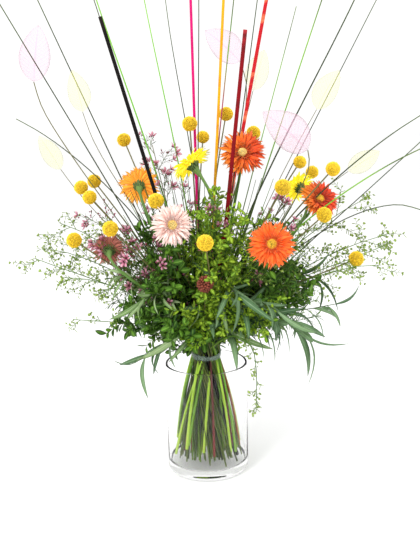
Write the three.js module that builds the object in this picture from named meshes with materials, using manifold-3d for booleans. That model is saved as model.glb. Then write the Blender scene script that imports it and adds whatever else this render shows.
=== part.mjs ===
// A spiral-tied bunch of gerberas, craspedia, dyed sticks and greenery in a glass cylinder vase.
// Millimetres, +Z up. The origin is the middle of the vase's underside, and -Y is the front.
//
// The bunch is gathered at one tie just above the vase's rim. Every stem leans round the axis in
// proportion to its distance from it, so the bunch opens like a twist of straws above and below
// the tie. Above the tie the stems leave that twist and curve out to their flower or leaf.

import * as THREE from "three";
import { mergeVertices } from "three/addons/utils/BufferGeometryUtils.js";
import Module from "manifold-3d";

const wasm = await Module();
wasm.setup();

// ---- driving dimensions ------------------------------------------------------------------

const VASE_RADIUS = 75;
const VASE_HEIGHT = 205;
const GLASS_WALL = 4;
const GLASS_BASE = 18;
const HEEL_ROUND = 8;
const WATER_HEIGHT = 142;

const TIE_HEIGHT = 221;
const TIE_WIDTH = 9;
const TIE_THICKNESS = 1.2;
const BUNDLE_RADIUS = 27;
const TWIST = 0.0115; // sideways lean per millimetre of distance from the axis, per millimetre

const GAP = 0.3; // kept between pieces that touch
const STEM_GAP = 1.0; // least space between two stems
const FOOT_HEIGHT = 29; // the cut ends stand just above the glass floor
const FOOT_SPREAD = 7; // the cut ends are not all level

const GERBERA_STEM = 2.6;
const CALYX_RADIUS = 7.5;
const CALYX_LENGTH = 15;
const CRASPEDIA_STEM = 1.3;
const GRASS_STEM = 1.5;
const LEAF_STEM = 1.0;
const SPRAY_STEM = 1.8;

// ---- the pieces of the bunch -------------------------------------------------------------
// `at` is the middle of a head, or the tip of a stick, blade or spray.
// `faces` is the way a gerbera looks.

const GERBERAS = [
  { name: "gerbera_orange_front", at: [113, -120, 444], faces: [-0.05, -0.94, 0.34],
    across: 82, color: 0xf4511e },
  { name: "gerbera_orange_top", at: [72, 0, 586], faces: [0, -0.86, 0.5], across: 88, color: 0xff6a14 },
  { name: "gerbera_red_right", at: [210, 15, 500], faces: [0.3, -0.75, 0.6], across: 78, color: 0xf03c14 },
  { name: "gerbera_yellow_upper", at: [-19, -35, 572], faces: [-0.62, 0.3, 0.72],
    across: 78, color: 0xf6e616 },
  { name: "gerbera_amber_left", at: [-113, 25, 530], faces: [-0.1, 0.93, 0.35], across: 78, color: 0xf79a25 },
  { name: "gerbera_peach", at: [-49, -120, 479], faces: [0.25, -0.91, 0.32], across: 76, color: 0xf6bda2 },
  { name: "gerbera_yellow_right", at: [179, 95, 513], faces: [-0.5, 0.75, 0.43],
    across: 66, color: 0xf2d21e },
  { name: "gerbera_dusty_left", at: [-165, -35, 425], faces: [-0.1, 0.94, 0.3], across: 62, color: 0xb0705c },
];

const CRASPEDIA = [
  { at: [-146, 120, 605], across: 25 },
  { at: [-201, 85, 532], across: 25 },
  { at: [-216, 20, 528], across: 24 },
  { at: [-198, -5, 513], across: 24 },
  { at: [-77, -75, 513], across: 26 },
  { at: [-154, -90, 470], across: 26 },
  { at: [-222, -50, 445], across: 26 },
  { at: [-19, 12, 636], across: 26 },
  { at: [3, 120, 607], across: 23 },
  { at: [47, 110, 649], across: 26 },
  { at: [4, -170, 457], across: 26 },
  { at: [175, 25, 564], across: 22 },
  { at: [211, 135, 535], across: 24 },
  { at: [222, -55, 558], across: 24 },
  { at: [135, -80, 532], across: 27 },
  { at: [207, -60, 481], across: 26 },
  { at: [270, -20, 395], across: 27 },
  { at: [98, 115, 613], across: 26 },
];

const STICKS = [
  { name: "stick_black", at: [-162, -30, 815], radius: 3.2, color: 0x120d0c },
  { name: "stick_magenta", at: [-13, 60, 905], radius: 2.4, color: 0xb8195a },
  { name: "stick_amber", at: [46, -10, 880], radius: 2.4, color: 0xd9a12c },
  { name: "stick_dark_red", at: [76, -75, 786], radius: 3.4, color: 0x6d0a0c },
  { name: "stick_red", at: [128, 62, 885], radius: 3.2, color: 0xc4262a },
];

const GRASSES = [
  { at: [-338, -42, 865] },
  { at: [-318, 140, 915] },
  { at: [-186, -10, 890] },
  { at: [72, 138, 905] },
  { at: [222, -66, 895] },
  { at: [330, 68, 872] },
  { at: [405, -22, 624] },
];

const SKELETON_LEAVES = [
  { at: [-288, 20, 713], axis: [0.15, 0, 1], looks: [0.1, -0.95, 0.2], length: 96, width: 54 },
  { at: [75, 120, 743], axis: [-0.74, 0, 0.67], looks: [0, -0.9, 0.3], length: 86, width: 56 },
  { at: [180, -50, 590], axis: [-0.76, 0, 0.65], looks: [0, -0.9, 0.3], length: 100, width: 62 },
];

// A spray's twigs leave its upper part by turns. `twig` holds their length and half width, and
// `from` is the part of the stem that is left bare.
const SPRAYS = [
  { name: "pennycress_left", at: [-300, -15, 408], twigs: 9, twig: [58, 5], from: 0.5, color: 0x8ea36a },
  { name: "pennycress_right", at: [322, 5, 412], twigs: 9, twig: [58, 5], from: 0.5, color: 0x8ea36a },
  { name: "pennycress_low_left", at: [-226, -80, 312], twigs: 7, twig: [44, 4], from: 0.55, color: 0x8ea36a },
  { name: "eucalyptus_right", at: [222, -84, 330], twigs: 9, twig: [62, 6.5], from: 0.25, color: 0x5c7257 },
  { name: "eucalyptus_left", at: [-114, -90, 240], twigs: 7, twig: [56, 6.5], from: 0.2, color: 0x5c7257 },
  { name: "bupleurum", at: [50, -112, 505], twigs: 10, twig: [34, 6], from: 0.4, color: 0x9fb02c },
  { name: "waxflower_left", at: [-184, -18, 472], twigs: 7, twig: [36, 4], from: 0.6, color: 0xa8687c },
  { name: "waxflower_upper", at: [-89, 60, 598], twigs: 7, twig: [36, 4], from: 0.6, color: 0xd8a4b0 },
];

// ---- small helpers -----------------------------------------------------------------------

const vector = (list) => new THREE.Vector3(list[0], list[1], list[2]);

function meshOf(name, geometry, color, roughness, opacity = 1) {
  const material = new THREE.MeshStandardMaterial({ color, roughness, metalness: 0 });
  material.opacity = opacity;
  material.transparent = opacity < 1;
  const mesh = new THREE.Mesh(geometry, material);
  mesh.name = name;
  return mesh;
}

function solidOf(geometry) {
  const bare = geometry.clone();
  bare.deleteAttribute("normal");
  bare.deleteAttribute("uv");
  const merged = mergeVertices(bare, 1e-4);
  const vertProperties = new Float32Array(merged.attributes.position.array);
  const triVerts = new Uint32Array(merged.index.array);
  return new wasm.Manifold(new wasm.Mesh({ numProp: 3, vertProperties, triVerts }));
}

function geometryOf(solid) {
  const { vertProperties, triVerts } = solid.getMesh();
  const geometry = new THREE.BufferGeometry();
  geometry.setAttribute("position", new THREE.BufferAttribute(vertProperties, 3));
  geometry.setIndex(new THREE.BufferAttribute(triVerts, 1));
  return geometry;
}

// A cylinder whose rings are moved onto `places` and scaled there to an oval section: `wide`
// across the side that `looks` faces, and `deep` through it.
function sweep(places, wide, deep, looks, sides) {
  const last = places.length - 1;
  const geometry = new THREE.CylinderGeometry(1, 1, 1, sides, last);
  const position = geometry.attributes.position;
  const frames = places.map((place, row) => {
    const ahead = places[Math.min(row + 1, last)];
    const behind = places[Math.max(row - 1, 0)];
    const along = ahead.clone().sub(behind).normalize();
    const across = along.clone().cross(looks).normalize();
    return { across, through: across.clone().cross(along).normalize() };
  });
  for (let i = 0; i < position.count; i += 1) {
    const row = Math.round((position.getY(i) + 0.5) * last);
    const { across, through } = frames[row];
    const point = places[row].clone();
    point.addScaledVector(across, position.getX(i) * wide[row]);
    point.addScaledVector(through, position.getZ(i) * deep[row]);
    position.setXYZ(i, point.x, point.y, point.z);
  }
  return geometry;
}

// The nearest points of two segments: how far along each they lie, and the step between them.
function nearest(a0, a1, b0, b1) {
  const u = a1.clone().sub(a0);
  const v = b1.clone().sub(b0);
  const w = a0.clone().sub(b0);
  const uu = u.lengthSq();
  const vv = v.lengthSq();
  const uv = u.dot(v);
  const uw = u.dot(w);
  const vw = v.dot(w);
  const cross = uu * vv - uv * uv;
  let s = cross > 1e-6 ? THREE.MathUtils.clamp((uv * vw - vv * uw) / cross, 0, 1) : 0.5;
  let t = vv > 1e-9 ? (uv * s + vw) / vv : 0;
  if (t < 0 || t > 1) {
    t = THREE.MathUtils.clamp(t, 0, 1);
    s = uu > 1e-9 ? THREE.MathUtils.clamp((uv * t - uw) / uu, 0, 1) : 0;
  }
  const step = w.addScaledVector(u, s).addScaledVector(v, -t);
  return { s, t, step };
}

// ---- where each stem passes the tie ------------------------------------------------------

// The straight stem that passes the tie at `slot` stands here at height z.
function onTwist(slot, z) {
  const turn = TWIST * (z - TIE_HEIGHT);
  return new THREE.Vector3(slot.x + turn * slot.y, slot.y - turn * slot.x, z);
}

// The slot whose straight stem would reach `place`.
function slotFor(place) {
  const turn = TWIST * (place.z - TIE_HEIGHT);
  const scale = 1 + turn * turn;
  return new THREE.Vector2((place.x - turn * place.y) / scale, (place.y + turn * place.x) / scale);
}

function keepInTie(stem) {
  stem.slot.clampLength(0, BUNDLE_RADIUS - stem.radius);
}

// Stems are pressed together in the tie without one entering another. Rigid sticks keep their
// slot, because moving it would swing their far end.
function packSlots(stems) {
  stems.forEach((stem) => {
    stem.slot = slotFor(stem.place);
    keepInTie(stem);
  });
  for (let round = 0; round < 600; round += 1) {
    stems.forEach((stem, i) => {
      for (let j = 0; j < i; j += 1) {
        const other = stems[j];
        const step = stem.slot.clone().sub(other.slot);
        const lack = (stem.radius + other.radius + STEM_GAP) * 1.04 - step.length();
        if (lack > 0 && !(stem.rigid && other.rigid)) {
          const share = stem.rigid || other.rigid ? 1 : 0.5;
          step.setLength(lack * share);
          if (!stem.rigid) stem.slot.add(step);
          if (!other.rigid) other.slot.sub(step);
        }
      }
    });
    stems.filter((stem) => !stem.rigid).forEach(keepInTie);
  }
}

// ---- the line each stem follows ----------------------------------------------------------

function layStem(stem, index) {
  const foot = FOOT_HEIGHT + FOOT_SPREAD * Math.sin(index * 2.4);
  const bottom = onTwist(stem.slot, foot);
  if (stem.rigid) {
    stem.line = [bottom, onTwist(stem.slot, stem.place.z)];
    stem.held = 2;
    return;
  }
  const below = onTwist(stem.slot, TIE_HEIGHT - TIE_WIDTH);
  const above = onTwist(stem.slot, TIE_HEIGHT + TIE_WIDTH);
  const lean = above.clone().sub(below).normalize();
  const chord = stem.end.clone().sub(above);
  const reach = chord.length();
  const outward = new THREE.Vector3(chord.x, chord.y, 0);
  const arrives = stem.arrives ?? chord.clone().addScaledVector(outward, stem.droop).normalize();
  const curve = new THREE.CubicBezierCurve3(
    above,
    above.clone().addScaledVector(lean, reach * stem.leaving),
    stem.end.clone().addScaledVector(arrives, -reach * stem.arriving),
    stem.end,
  );
  stem.line = [bottom, below, ...curve.getPoints(stem.steps)];
  stem.held = 3;
}

// Balls that stand for a flower head where other stems have to pass it.
function ballsOf(stem) {
  if (!stem.head) return [];
  const { centre, faces, radius } = stem.head;
  if (!faces) return [{ centre, radius }];
  const side = new THREE.Vector3(1, 0.2, 0.1).cross(faces).normalize();
  const balls = [{ centre: centre.clone().addScaledVector(faces, -9), radius: CALYX_RADIUS + 3 }];
  for (const [part, count] of [[0.45, 6], [0.82, 12]]) {
    for (let i = 0; i < count; i += 1) {
      const spoke = side.clone().applyAxisAngle(faces, (i / count) * 2 * Math.PI);
      balls.push({ centre: centre.clone().addScaledVector(spoke, radius * part), radius: 10 });
    }
  }
  return balls;
}

// Where two stems cross they push each other aside, and a flower head pushes a stem that passes
// it. Both ends of a stem and its stretch through the tie stay put.
function settle(stems, balls) {
  const push = (stem, k, amount, step) => {
    const free = !stem.rigid && k >= stem.held && k < stem.line.length - 1;
    if (free) stem.line[k].addScaledVector(step, amount);
  };
  const share = (stem, k, along, amount, step) => {
    const spread = (1 - along) ** 2 + along ** 2;
    push(stem, k, (amount * (1 - along)) / spread, step);
    push(stem, k + 1, (amount * along) / spread, step);
  };
  for (let round = 0; round < 240; round += 1) {
    stems.forEach((stem, i) => {
      for (let k = stem.rigid ? 0 : 2; k < stem.line.length - 1; k += 1) {
        for (let j = 0; j < i; j += 1) {
          const other = stems[j];
          for (let m = other.rigid ? 0 : 2; m < other.line.length - 1; m += 1) {
            const room = stem.radius + other.radius + STEM_GAP;
            const { s, t, step } = nearest(stem.line[k], stem.line[k + 1], other.line[m], other.line[m + 1]);
            const lack = room - step.length();
            if (lack > 0) {
              step.normalize();
              const amount = stem.rigid || other.rigid ? lack : lack / 2;
              share(stem, k, s, amount, step);
              share(other, m, t, -amount, step);
            }
          }
        }
        for (const ball of balls.filter((each) => each.owner !== stem)) {
          const { s, step } = nearest(stem.line[k], stem.line[k + 1], ball.centre, ball.centre);
          const lack = stem.radius + ball.radius + STEM_GAP - step.length();
          if (lack > 0) share(stem, k, s, lack, step.normalize());
        }
      }
    });
  }
}

// ---- shapes of the single pieces ---------------------------------------------------------

const FRONT = new THREE.Vector3(0.05, -1, 0.1);

function stemGeometry(stem, sides) {
  const radii = stem.line.map(() => stem.radius);
  return sweep(stem.line, radii, radii, FRONT, sides);
}

// The stem widens into the green cup that holds the petals.
function gerberaStem(stem) {
  const { centre, faces } = stem.head;
  const cup = [[0.2, 0.55], [0.55, 0.92], [1, 1]];
  const line = [...stem.line];
  const radii = stem.line.map(() => stem.radius);
  for (const [along, wide] of cup) {
    line.push(centre.clone().addScaledVector(faces, CALYX_LENGTH * (along - 1)));
    radii.push(CALYX_RADIUS * wide);
  }
  return sweep(line, radii, radii, FRONT, 6);
}

// One turned shape: the underside of the petals, their tips, the bowl and the raised disc.
function gerberaHead(stem) {
  const { centre, faces, radius } = stem.head;
  const under = [[0, GAP], [CALYX_RADIUS, GAP], [radius, 7]];
  const upper = [[radius * 0.55, 9], [radius * 0.25, 6], [0, 9]];
  const profile = [...under, ...upper];
  const geometry = new THREE.LatheGeometry(profile.map(([r, h]) => new THREE.Vector2(r, h)), 20);
  const position = geometry.attributes.position;
  for (let i = 0; i < position.count; i += 1) {
    const angle = Math.atan2(position.getZ(i), position.getX(i));
    const outer = Math.hypot(position.getX(i), position.getZ(i)) > radius * 0.8;
    const notch = outer ? 1 - 0.05 * (1 - Math.cos(10 * angle)) : 1;
    position.setX(i, position.getX(i) * notch);
    position.setZ(i, position.getZ(i) * notch);
  }
  const turn = new THREE.Quaternion().setFromUnitVectors(new THREE.Vector3(0, 1, 0), faces);
  geometry.applyQuaternion(turn);
  geometry.translate(centre.x, centre.y, centre.z);
  return geometry;
}

// A bare stem that ends in a ball: the ball's rings follow a half circle.
function craspediaGeometry(stem) {
  const { centre, radius } = stem.head;
  const line = [...stem.line];
  const radii = stem.line.map(() => stem.radius);
  const along = centre.clone().sub(line.at(-2)).normalize();
  line.pop();
  radii.pop();
  for (let i = 0; i <= 5; i += 1) {
    const angle = Math.PI * (0.08 + 0.84 * (i / 5));
    line.push(centre.clone().addScaledVector(along, -radius * Math.cos(angle)));
    radii.push(radius * Math.sin(angle));
  }
  return sweep(line, radii, radii, FRONT, 7);
}

// A thin stem that spreads into a heart-shaped blade with a long tip.
function skeletonLeaf(stem) {
  const { axis, looks, length, width } = stem.leaf;
  const outline = [[0.04, 0.3], [0.14, 0.86], [0.3, 1], [0.48, 0.72], [0.62, 0.34], [0.74, 0.1], [1, 0.03]];
  const line = [...stem.line];
  const wide = stem.line.map(() => stem.radius);
  const deep = stem.line.map(() => stem.radius);
  for (const [along, part] of outline) {
    line.push(stem.end.clone().addScaledVector(axis, length * along));
    wide.push((width / 2) * part);
    deep.push(0.7);
  }
  return sweep(line, wide, deep, looks, 6);
}

// ---- sprays of greenery ------------------------------------------------------------------

const GOLDEN_ANGLE = 2.4;

function pointAlong(line, part) {
  const exact = 2 + part * (line.length - 3);
  const k = Math.min(Math.floor(exact), line.length - 2);
  const along = line[k + 1].clone().sub(line[k]).normalize();
  return { root: line[k].clone().lerp(line[k + 1], exact - k), along };
}

// A twig needs free space round it, clear of every other stem, head and twig.
function isClear(start, tip, half, owner, stems, balls, twigs) {
  const tooNear = (step, radius) => step.length() < half + radius + STEM_GAP;
  const hitsStem = stems.some((stem) => stem !== owner && stem.line.some((point, k) => {
    const next = stem.line[k + 1];
    return next && tooNear(nearest(start, tip, point, next).step, stem.radius);
  }));
  const hitsBall = balls.some(({ centre, radius }) => {
    return tooNear(nearest(start, tip, centre, centre).step, radius);
  });
  const hitsBlade = stems.some((stem) => {
    if (!stem.leaf) return false;
    const far = stem.end.clone().addScaledVector(stem.leaf.axis, stem.leaf.length);
    return tooNear(nearest(start, tip, stem.end, far).step, stem.leaf.width / 2);
  });
  const hitsTwig = twigs.some((twig) => twig.owner !== owner
    && tooNear(nearest(start, tip, twig.root, twig.tip).step, twig.half));
  const inVase = tip.z < VASE_HEIGHT + 20 && Math.hypot(tip.x, tip.y) < VASE_RADIUS + 12;
  return !(hitsStem || hitsBall || hitsBlade || hitsTwig || inVase);
}

function growTwigs(stem, stems, balls, twigs) {
  const [length, half] = stem.spray.twig;
  const own = [];
  for (let i = 0; i < stem.spray.twigs; i += 1) {
    const part = stem.spray.from + (1 - stem.spray.from) * (i / stem.spray.twigs);
    const { root, along } = pointAlong(stem.line, part);
    const side = along.clone().cross(FRONT).normalize();
    for (let attempt = 0; attempt < 16; attempt += 1) {
      const away = side.clone().applyAxisAngle(along, GOLDEN_ANGLE * (i + attempt));
      const heading = along.clone().multiplyScalar(0.75).add(away).normalize();
      const tip = root.clone().addScaledVector(heading, length * (1 - 0.35 * (i / stem.spray.twigs)));
      const start = root.clone().addScaledVector(heading, half * 0.5);
      if (isClear(start, tip, half, stem, stems, balls, twigs)) {
        own.push({ owner: stem, root, tip, half });
        break;
      }
    }
  }
  twigs.push(...own);
  return own;
}

function sprayGeometry(stem, own) {
  let solid = solidOf(stemGeometry(stem, 5));
  for (const { root, tip, half } of own) {
    const places = [0, 0.35, 0.7, 1].map((part) => root.clone().lerp(tip, part));
    const wide = [0.9, half * 0.9, half, 0.9];
    const deep = [0.9, 0.9, 0.9, 0.6];
    solid = solid.add(solidOf(sweep(places, wide, deep, FRONT, 4)));
  }
  return geometryOf(solid);
}

// ---- glass, water and tie ----------------------------------------------------------------

function arc(centreR, centreH, radius, from, to, steps) {
  const points = [];
  for (let i = 0; i <= steps; i += 1) {
    const angle = from + (to - from) * (i / steps);
    points.push(new THREE.Vector2(centreR + radius * Math.cos(angle), centreH + radius * Math.sin(angle)));
  }
  return points;
}

// LatheGeometry turns about its own Y axis, so the result is stood up along +Z.
function turned(points, segments) {
  const geometry = new THREE.LatheGeometry(points, segments);
  geometry.rotateX(Math.PI / 2);
  return geometry;
}

function vaseGeometry() {
  const inner = VASE_RADIUS - GLASS_WALL;
  const lip = GLASS_WALL / 2;
  const points = [
    new THREE.Vector2(0, 0),
    ...arc(VASE_RADIUS - HEEL_ROUND, HEEL_ROUND, HEEL_ROUND, -Math.PI / 2, 0, 3),
    ...arc(VASE_RADIUS - lip, VASE_HEIGHT - lip, lip, 0, Math.PI, 4),
    ...arc(inner - 5, GLASS_BASE + 5, 5, 0, -Math.PI / 2, 2),
    new THREE.Vector2(0, GLASS_BASE),
  ];
  return turned(points, 32);
}

function tieGeometry() {
  const inner = BUNDLE_RADIUS + GAP;
  const outer = inner + TIE_THICKNESS;
  const low = TIE_HEIGHT - TIE_WIDTH / 2;
  const high = TIE_HEIGHT + TIE_WIDTH / 2;
  const corners = [[inner, low], [outer, low], [outer, high], [inner, high], [inner, low]];
  return turned(corners.map(([r, h]) => new THREE.Vector2(r, h)), 24);
}

// The water fills the vase round the stems, which stand in it with a thin gap.
function waterGeometry(stems) {
  const radius = VASE_RADIUS - GLASS_WALL - GAP;
  const floor = GLASS_BASE + GAP;
  const points = [
    new THREE.Vector2(0, floor),
    new THREE.Vector2(radius - 5, floor),
    new THREE.Vector2(radius, floor + 5),
    new THREE.Vector2(radius, WATER_HEIGHT),
    new THREE.Vector2(0, WATER_HEIGHT),
  ];
  let water = solidOf(turned(points, 32));
  for (const stem of stems) {
    const hole = stem.radius + GAP;
    const below = stem.line[0].clone();
    const down = stem.line[1].clone().sub(below).normalize();
    below.addScaledVector(down, -GAP);
    const above = below.clone().addScaledVector(down, WATER_HEIGHT);
    water = water.subtract(solidOf(sweep([below, above], [hole, hole], [hole, hole], FRONT, stem.sides)));
  }
  return geometryOf(water);
}

// ---- the stems, with what each carries ---------------------------------------------------

function gerberaStems() {
  return GERBERAS.map((each) => {
    const faces = vector(each.faces).normalize();
    const centre = vector(each.at).addScaledVector(faces, -6);
    return {
      ...each, kind: "gerbera", radius: GERBERA_STEM, sides: 6, steps: 7, leaving: 0.3, arriving: 0.28,
      end: centre.clone().addScaledVector(faces, -CALYX_LENGTH * 1.15), arrives: faces, place: centre,
      head: { centre, faces, radius: each.across / 2 },
    };
  });
}

function craspediaStems() {
  return CRASPEDIA.map((each, i) => {
    const centre = vector(each.at);
    return {
      name: `craspedia_${i + 1}`, kind: "craspedia", color: 0xe2b714, radius: CRASPEDIA_STEM,
      sides: 7, steps: 5, leaving: 0.3, arriving: 0.35, droop: 0.35, end: centre, place: centre,
      head: { centre, radius: each.across / 2 },
    };
  });
}

function stickStems() {
  return STICKS.map((each) => ({ ...each, kind: "stick", rigid: true, sides: 6, place: vector(each.at) }));
}

function grassStems() {
  return GRASSES.map((each, i) => ({
    name: `steel_grass_${i + 1}`, kind: "grass", color: 0x55663a, radius: GRASS_STEM, sides: 5, steps: 6,
    leaving: 0.1, arriving: 0.5, droop: 0.04, end: vector(each.at), place: vector(each.at),
  }));
}

function leafStems() {
  return SKELETON_LEAVES.map((each, i) => {
    const axis = vector(each.axis).normalize();
    const end = vector(each.at);
    return {
      name: `skeleton_leaf_${i + 1}`, kind: "leaf", color: 0xf0c8d0, radius: LEAF_STEM, sides: 6, steps: 6,
      leaving: 0.2, arriving: 0.12, arrives: axis.clone(), end, place: end,
      leaf: { axis, looks: vector(each.looks).normalize(), length: each.length, width: each.width },
    };
  });
}

function sprayStems() {
  return SPRAYS.map((each) => ({
    name: each.name, kind: "spray", color: each.color, radius: SPRAY_STEM, sides: 5, steps: 6,
    leaving: 0.25, arriving: 0.35, droop: 0.5, end: vector(each.at), place: vector(each.at), spray: each,
  }));
}

// ---- the whole bunch ---------------------------------------------------------------------

const stems = [
  ...stickStems(), ...gerberaStems(), ...craspediaStems(), ...grassStems(), ...leafStems(), ...sprayStems(),
];
packSlots(stems);
stems.forEach(layStem);
const balls = stems.flatMap((stem) => ballsOf(stem).map((ball) => ({ ...ball, owner: stem })));
settle(stems, balls);

const bouquet = new THREE.Group();
bouquet.add(meshOf("glass_vase", vaseGeometry(), 0xe6efee, 0.05, 0.3));
bouquet.add(meshOf("water", waterGeometry(stems), 0xdbe9ea, 0.05, 0.25));
bouquet.add(meshOf("stem_tie", tieGeometry(), 0xc8d4dc, 0.4, 0.8));

const twigs = [];
const makers = {
  gerbera: (stem) => [
    meshOf(`${stem.name}_stem`, gerberaStem(stem), 0x6d8a3a, 0.6),
    meshOf(`${stem.name}_head`, gerberaHead(stem), stem.color, 0.55),
  ],
  craspedia: (stem) => [meshOf(stem.name, craspediaGeometry(stem), stem.color, 0.9)],
  stick: (stem) => [meshOf(stem.name, stemGeometry(stem, 6), stem.color, 0.5)],
  grass: (stem) => [meshOf(stem.name, stemGeometry(stem, 5), stem.color, 0.6)],
  leaf: (stem) => [meshOf(stem.name, skeletonLeaf(stem), stem.color, 0.7, 0.6)],
  spray: (stem) => [
    meshOf(stem.name, sprayGeometry(stem, growTwigs(stem, stems, balls, twigs)), stem.color, 0.6),
  ],
};
for (const stem of stems) bouquet.add(...makers[stem.kind](stem));

export default bouquet;
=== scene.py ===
# %% [markdown]
# # Gerberas in a glass cylinder vase
# A mixed bunch stands in a straight glass cylinder: gerberas, craspedia balls, dyed sticks, steel grass,
# skeleton leaves, pennycress, eucalyptus, bupleurum and waxflower, tied just above the rim.
# The CAD gives every stem its path and every head its place. Here each CAD node gets a looks piece which
# follows it: the stems and what grows on them are made by Geometry Nodes trees and kept as plain meshes.

import math
import random

import bmesh
import bpy
from mathutils import Matrix, Vector


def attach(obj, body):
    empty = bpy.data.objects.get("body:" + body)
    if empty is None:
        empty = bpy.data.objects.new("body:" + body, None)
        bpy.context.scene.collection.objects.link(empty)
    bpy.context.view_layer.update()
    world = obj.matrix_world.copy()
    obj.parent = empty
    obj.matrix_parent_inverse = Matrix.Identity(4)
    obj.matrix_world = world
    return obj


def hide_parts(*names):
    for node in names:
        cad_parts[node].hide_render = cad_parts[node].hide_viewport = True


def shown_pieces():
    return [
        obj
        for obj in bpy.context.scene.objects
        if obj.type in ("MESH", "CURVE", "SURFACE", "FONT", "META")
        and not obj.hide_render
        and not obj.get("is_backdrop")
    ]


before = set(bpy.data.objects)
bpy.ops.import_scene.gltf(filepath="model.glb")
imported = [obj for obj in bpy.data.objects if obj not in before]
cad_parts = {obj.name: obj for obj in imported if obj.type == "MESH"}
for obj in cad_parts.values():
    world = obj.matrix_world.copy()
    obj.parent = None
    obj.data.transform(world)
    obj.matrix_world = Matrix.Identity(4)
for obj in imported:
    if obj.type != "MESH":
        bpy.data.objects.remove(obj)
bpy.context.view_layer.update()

# %% [markdown]
# ## Sizes
# The stems cross the tie as a loose spiral, as a florist holds them, and spread again under it.
# `TWIST` is how far a stem turns round the bunch for each metre above or below the tie. `HAIR` is the
# gap kept between two surfaces that would otherwise lie in one place.

# %% Sizes, in metres
VASE_RADIUS, VASE_HEIGHT = 0.075, 0.205
GLASS_WALL, GLASS_BASE, HEEL_ROUND = 0.004, 0.018, 0.008
WATER_HEIGHT, HAIR = 0.142, 0.0003
TIE_HEIGHT, TIE_WIDTH, BUNDLE_RADIUS = 0.221, 0.009, 0.027
FOOT_HEIGHT, TWIST = 0.029, 11.5
GOLDEN = math.radians(137.508)

# %% [markdown]
# ## Small tools for node trees
# A node tree is the recipe of a thing that repeats. `tree` starts one with named inputs, `add` puts a
# node in and connects it, and `grow` runs a finished tree and keeps its result as a plain mesh.

# %% Node tree tools
def socket_of(sockets, key):
    """The socket in use with this name, or this place in the list."""
    if isinstance(key, int):
        return sockets[key]
    return next(s for s in sockets if s.name == key and s.enabled)


def add(group, kind, inputs=(), **settings):
    """A node, its settings made first, then its inputs connected or set."""
    made = group.nodes.new(kind)
    for name, value in settings.items():
        setattr(made, name, value)
    pairs = inputs.items() if isinstance(inputs, dict) else enumerate(inputs)
    for key, value in pairs:
        socket = socket_of(made.inputs, key)
        if isinstance(value, bpy.types.NodeSocket):
            group.links.new(value, socket)
        else:
            socket.default_value = value
    return made


def out(made, key=None):
    """A node's output: the first one in use, or the one with this name or place."""
    if key is None:
        return next(s for s in made.outputs if s.enabled)
    return socket_of(made.outputs, key)


def maths(group, operation, *values):
    """The result of one sum."""
    return out(add(group, "ShaderNodeMath", values, operation=operation))


def times(group, first, second):
    return maths(group, "MULTIPLY", first, second)


def plus(group, first, second):
    return maths(group, "ADD", first, second)


def vector(group, x=0.0, y=0.0, z=0.0):
    """Three numbers as one vector."""
    return out(add(group, "ShaderNodeCombineXYZ", (x, y, z)))


def arrow(group, operation, *values):
    """The result of one sum on vectors. A scale is given as the second value."""
    if operation == "SCALE":
        values = {"Vector": values[0], "Scale": values[1]}
    return out(add(group, "ShaderNodeVectorMath", values, operation=operation))


def tree(name, **inputs):
    """A Geometry Nodes tree with its geometry and its named inputs. A number is a default."""
    group = bpy.data.node_groups.new(name, "GeometryNodeTree")
    group.interface.new_socket("Geometry", in_out="INPUT", socket_type="NodeSocketGeometry")
    for label, value in inputs.items():
        kind = {int: "Int", float: "Float"}.get(type(value), value)
        made = group.interface.new_socket(label, in_out="INPUT", socket_type=f"NodeSocket{kind}")
        if not isinstance(value, str):
            made.default_value = value
    group.interface.new_socket("Geometry", in_out="OUTPUT", socket_type="NodeSocketGeometry")
    return group, group.nodes.new("NodeGroupInput").outputs


def close(group, geometry):
    """Connects the tree's result."""
    group.links.new(geometry, group.nodes.new("NodeGroupOutput").inputs[0])
    return group


def chance(group, low, high, seed, step=0):
    """A number between low and high for each point, with its own stream for each step."""
    seed = plus(group, seed, float(step))
    return out(add(group, "FunctionNodeRandomValue", {"Min": low, "Max": high, "Seed": seed}))


def store(group, geometry, name, value, domain="POINT"):
    """Keeps a number on the geometry under a name, for a material to read."""
    return out(add(group, "GeometryNodeStoreNamedAttribute",
                   {"Geometry": geometry, "Name": name, "Value": value}, domain=domain))


def kept(group, name, kind="FLOAT"):
    """A value kept on the geometry under a name."""
    return out(add(group, "GeometryNodeInputNamedAttribute", {"Name": name}, data_type=kind))


def sow(group, points, shape, pose, scale, tint, **more):
    """Puts a shape on every point and gives each one its own tint."""
    shape = out(add(group, "GeometryNodeObjectInfo", {"Object": shape, "As Instance": True}), "Geometry")
    made = out(add(group, "GeometryNodeInstanceOnPoints",
                   {"Points": points, "Instance": shape, "Rotation": pose, "Scale": scale, **more}))
    return store(group, made, "tint", tint, "INSTANCE")


def real(group, made):
    """Turns placed shapes into mesh."""
    return out(add(group, "GeometryNodeRealizeInstances", {"Geometry": made}))


def rolled(group, pose, angle):
    """A pose turned on about its own X."""
    spin = out(add(group, "FunctionNodeEulerToRotation", {0: vector(group, angle)}))
    return out(add(group, "FunctionNodeRotateRotation", {"Rotation": pose, "Rotate By": spin},
                   rotation_space="LOCAL"))


def dress(group, made, given):
    """Ends a tree with its material."""
    made = add(group, "GeometryNodeSetMaterial", {"Geometry": made, "Material": given["Material"]})
    return close(group, out(made))


def put(name, data, material=None):
    """A mesh, lamp or camera as an object in the scene."""
    if material:
        data.materials.append(material)
    made = bpy.data.objects.new(name, data)
    bpy.context.scene.collection.objects.link(made)
    return made


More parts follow.
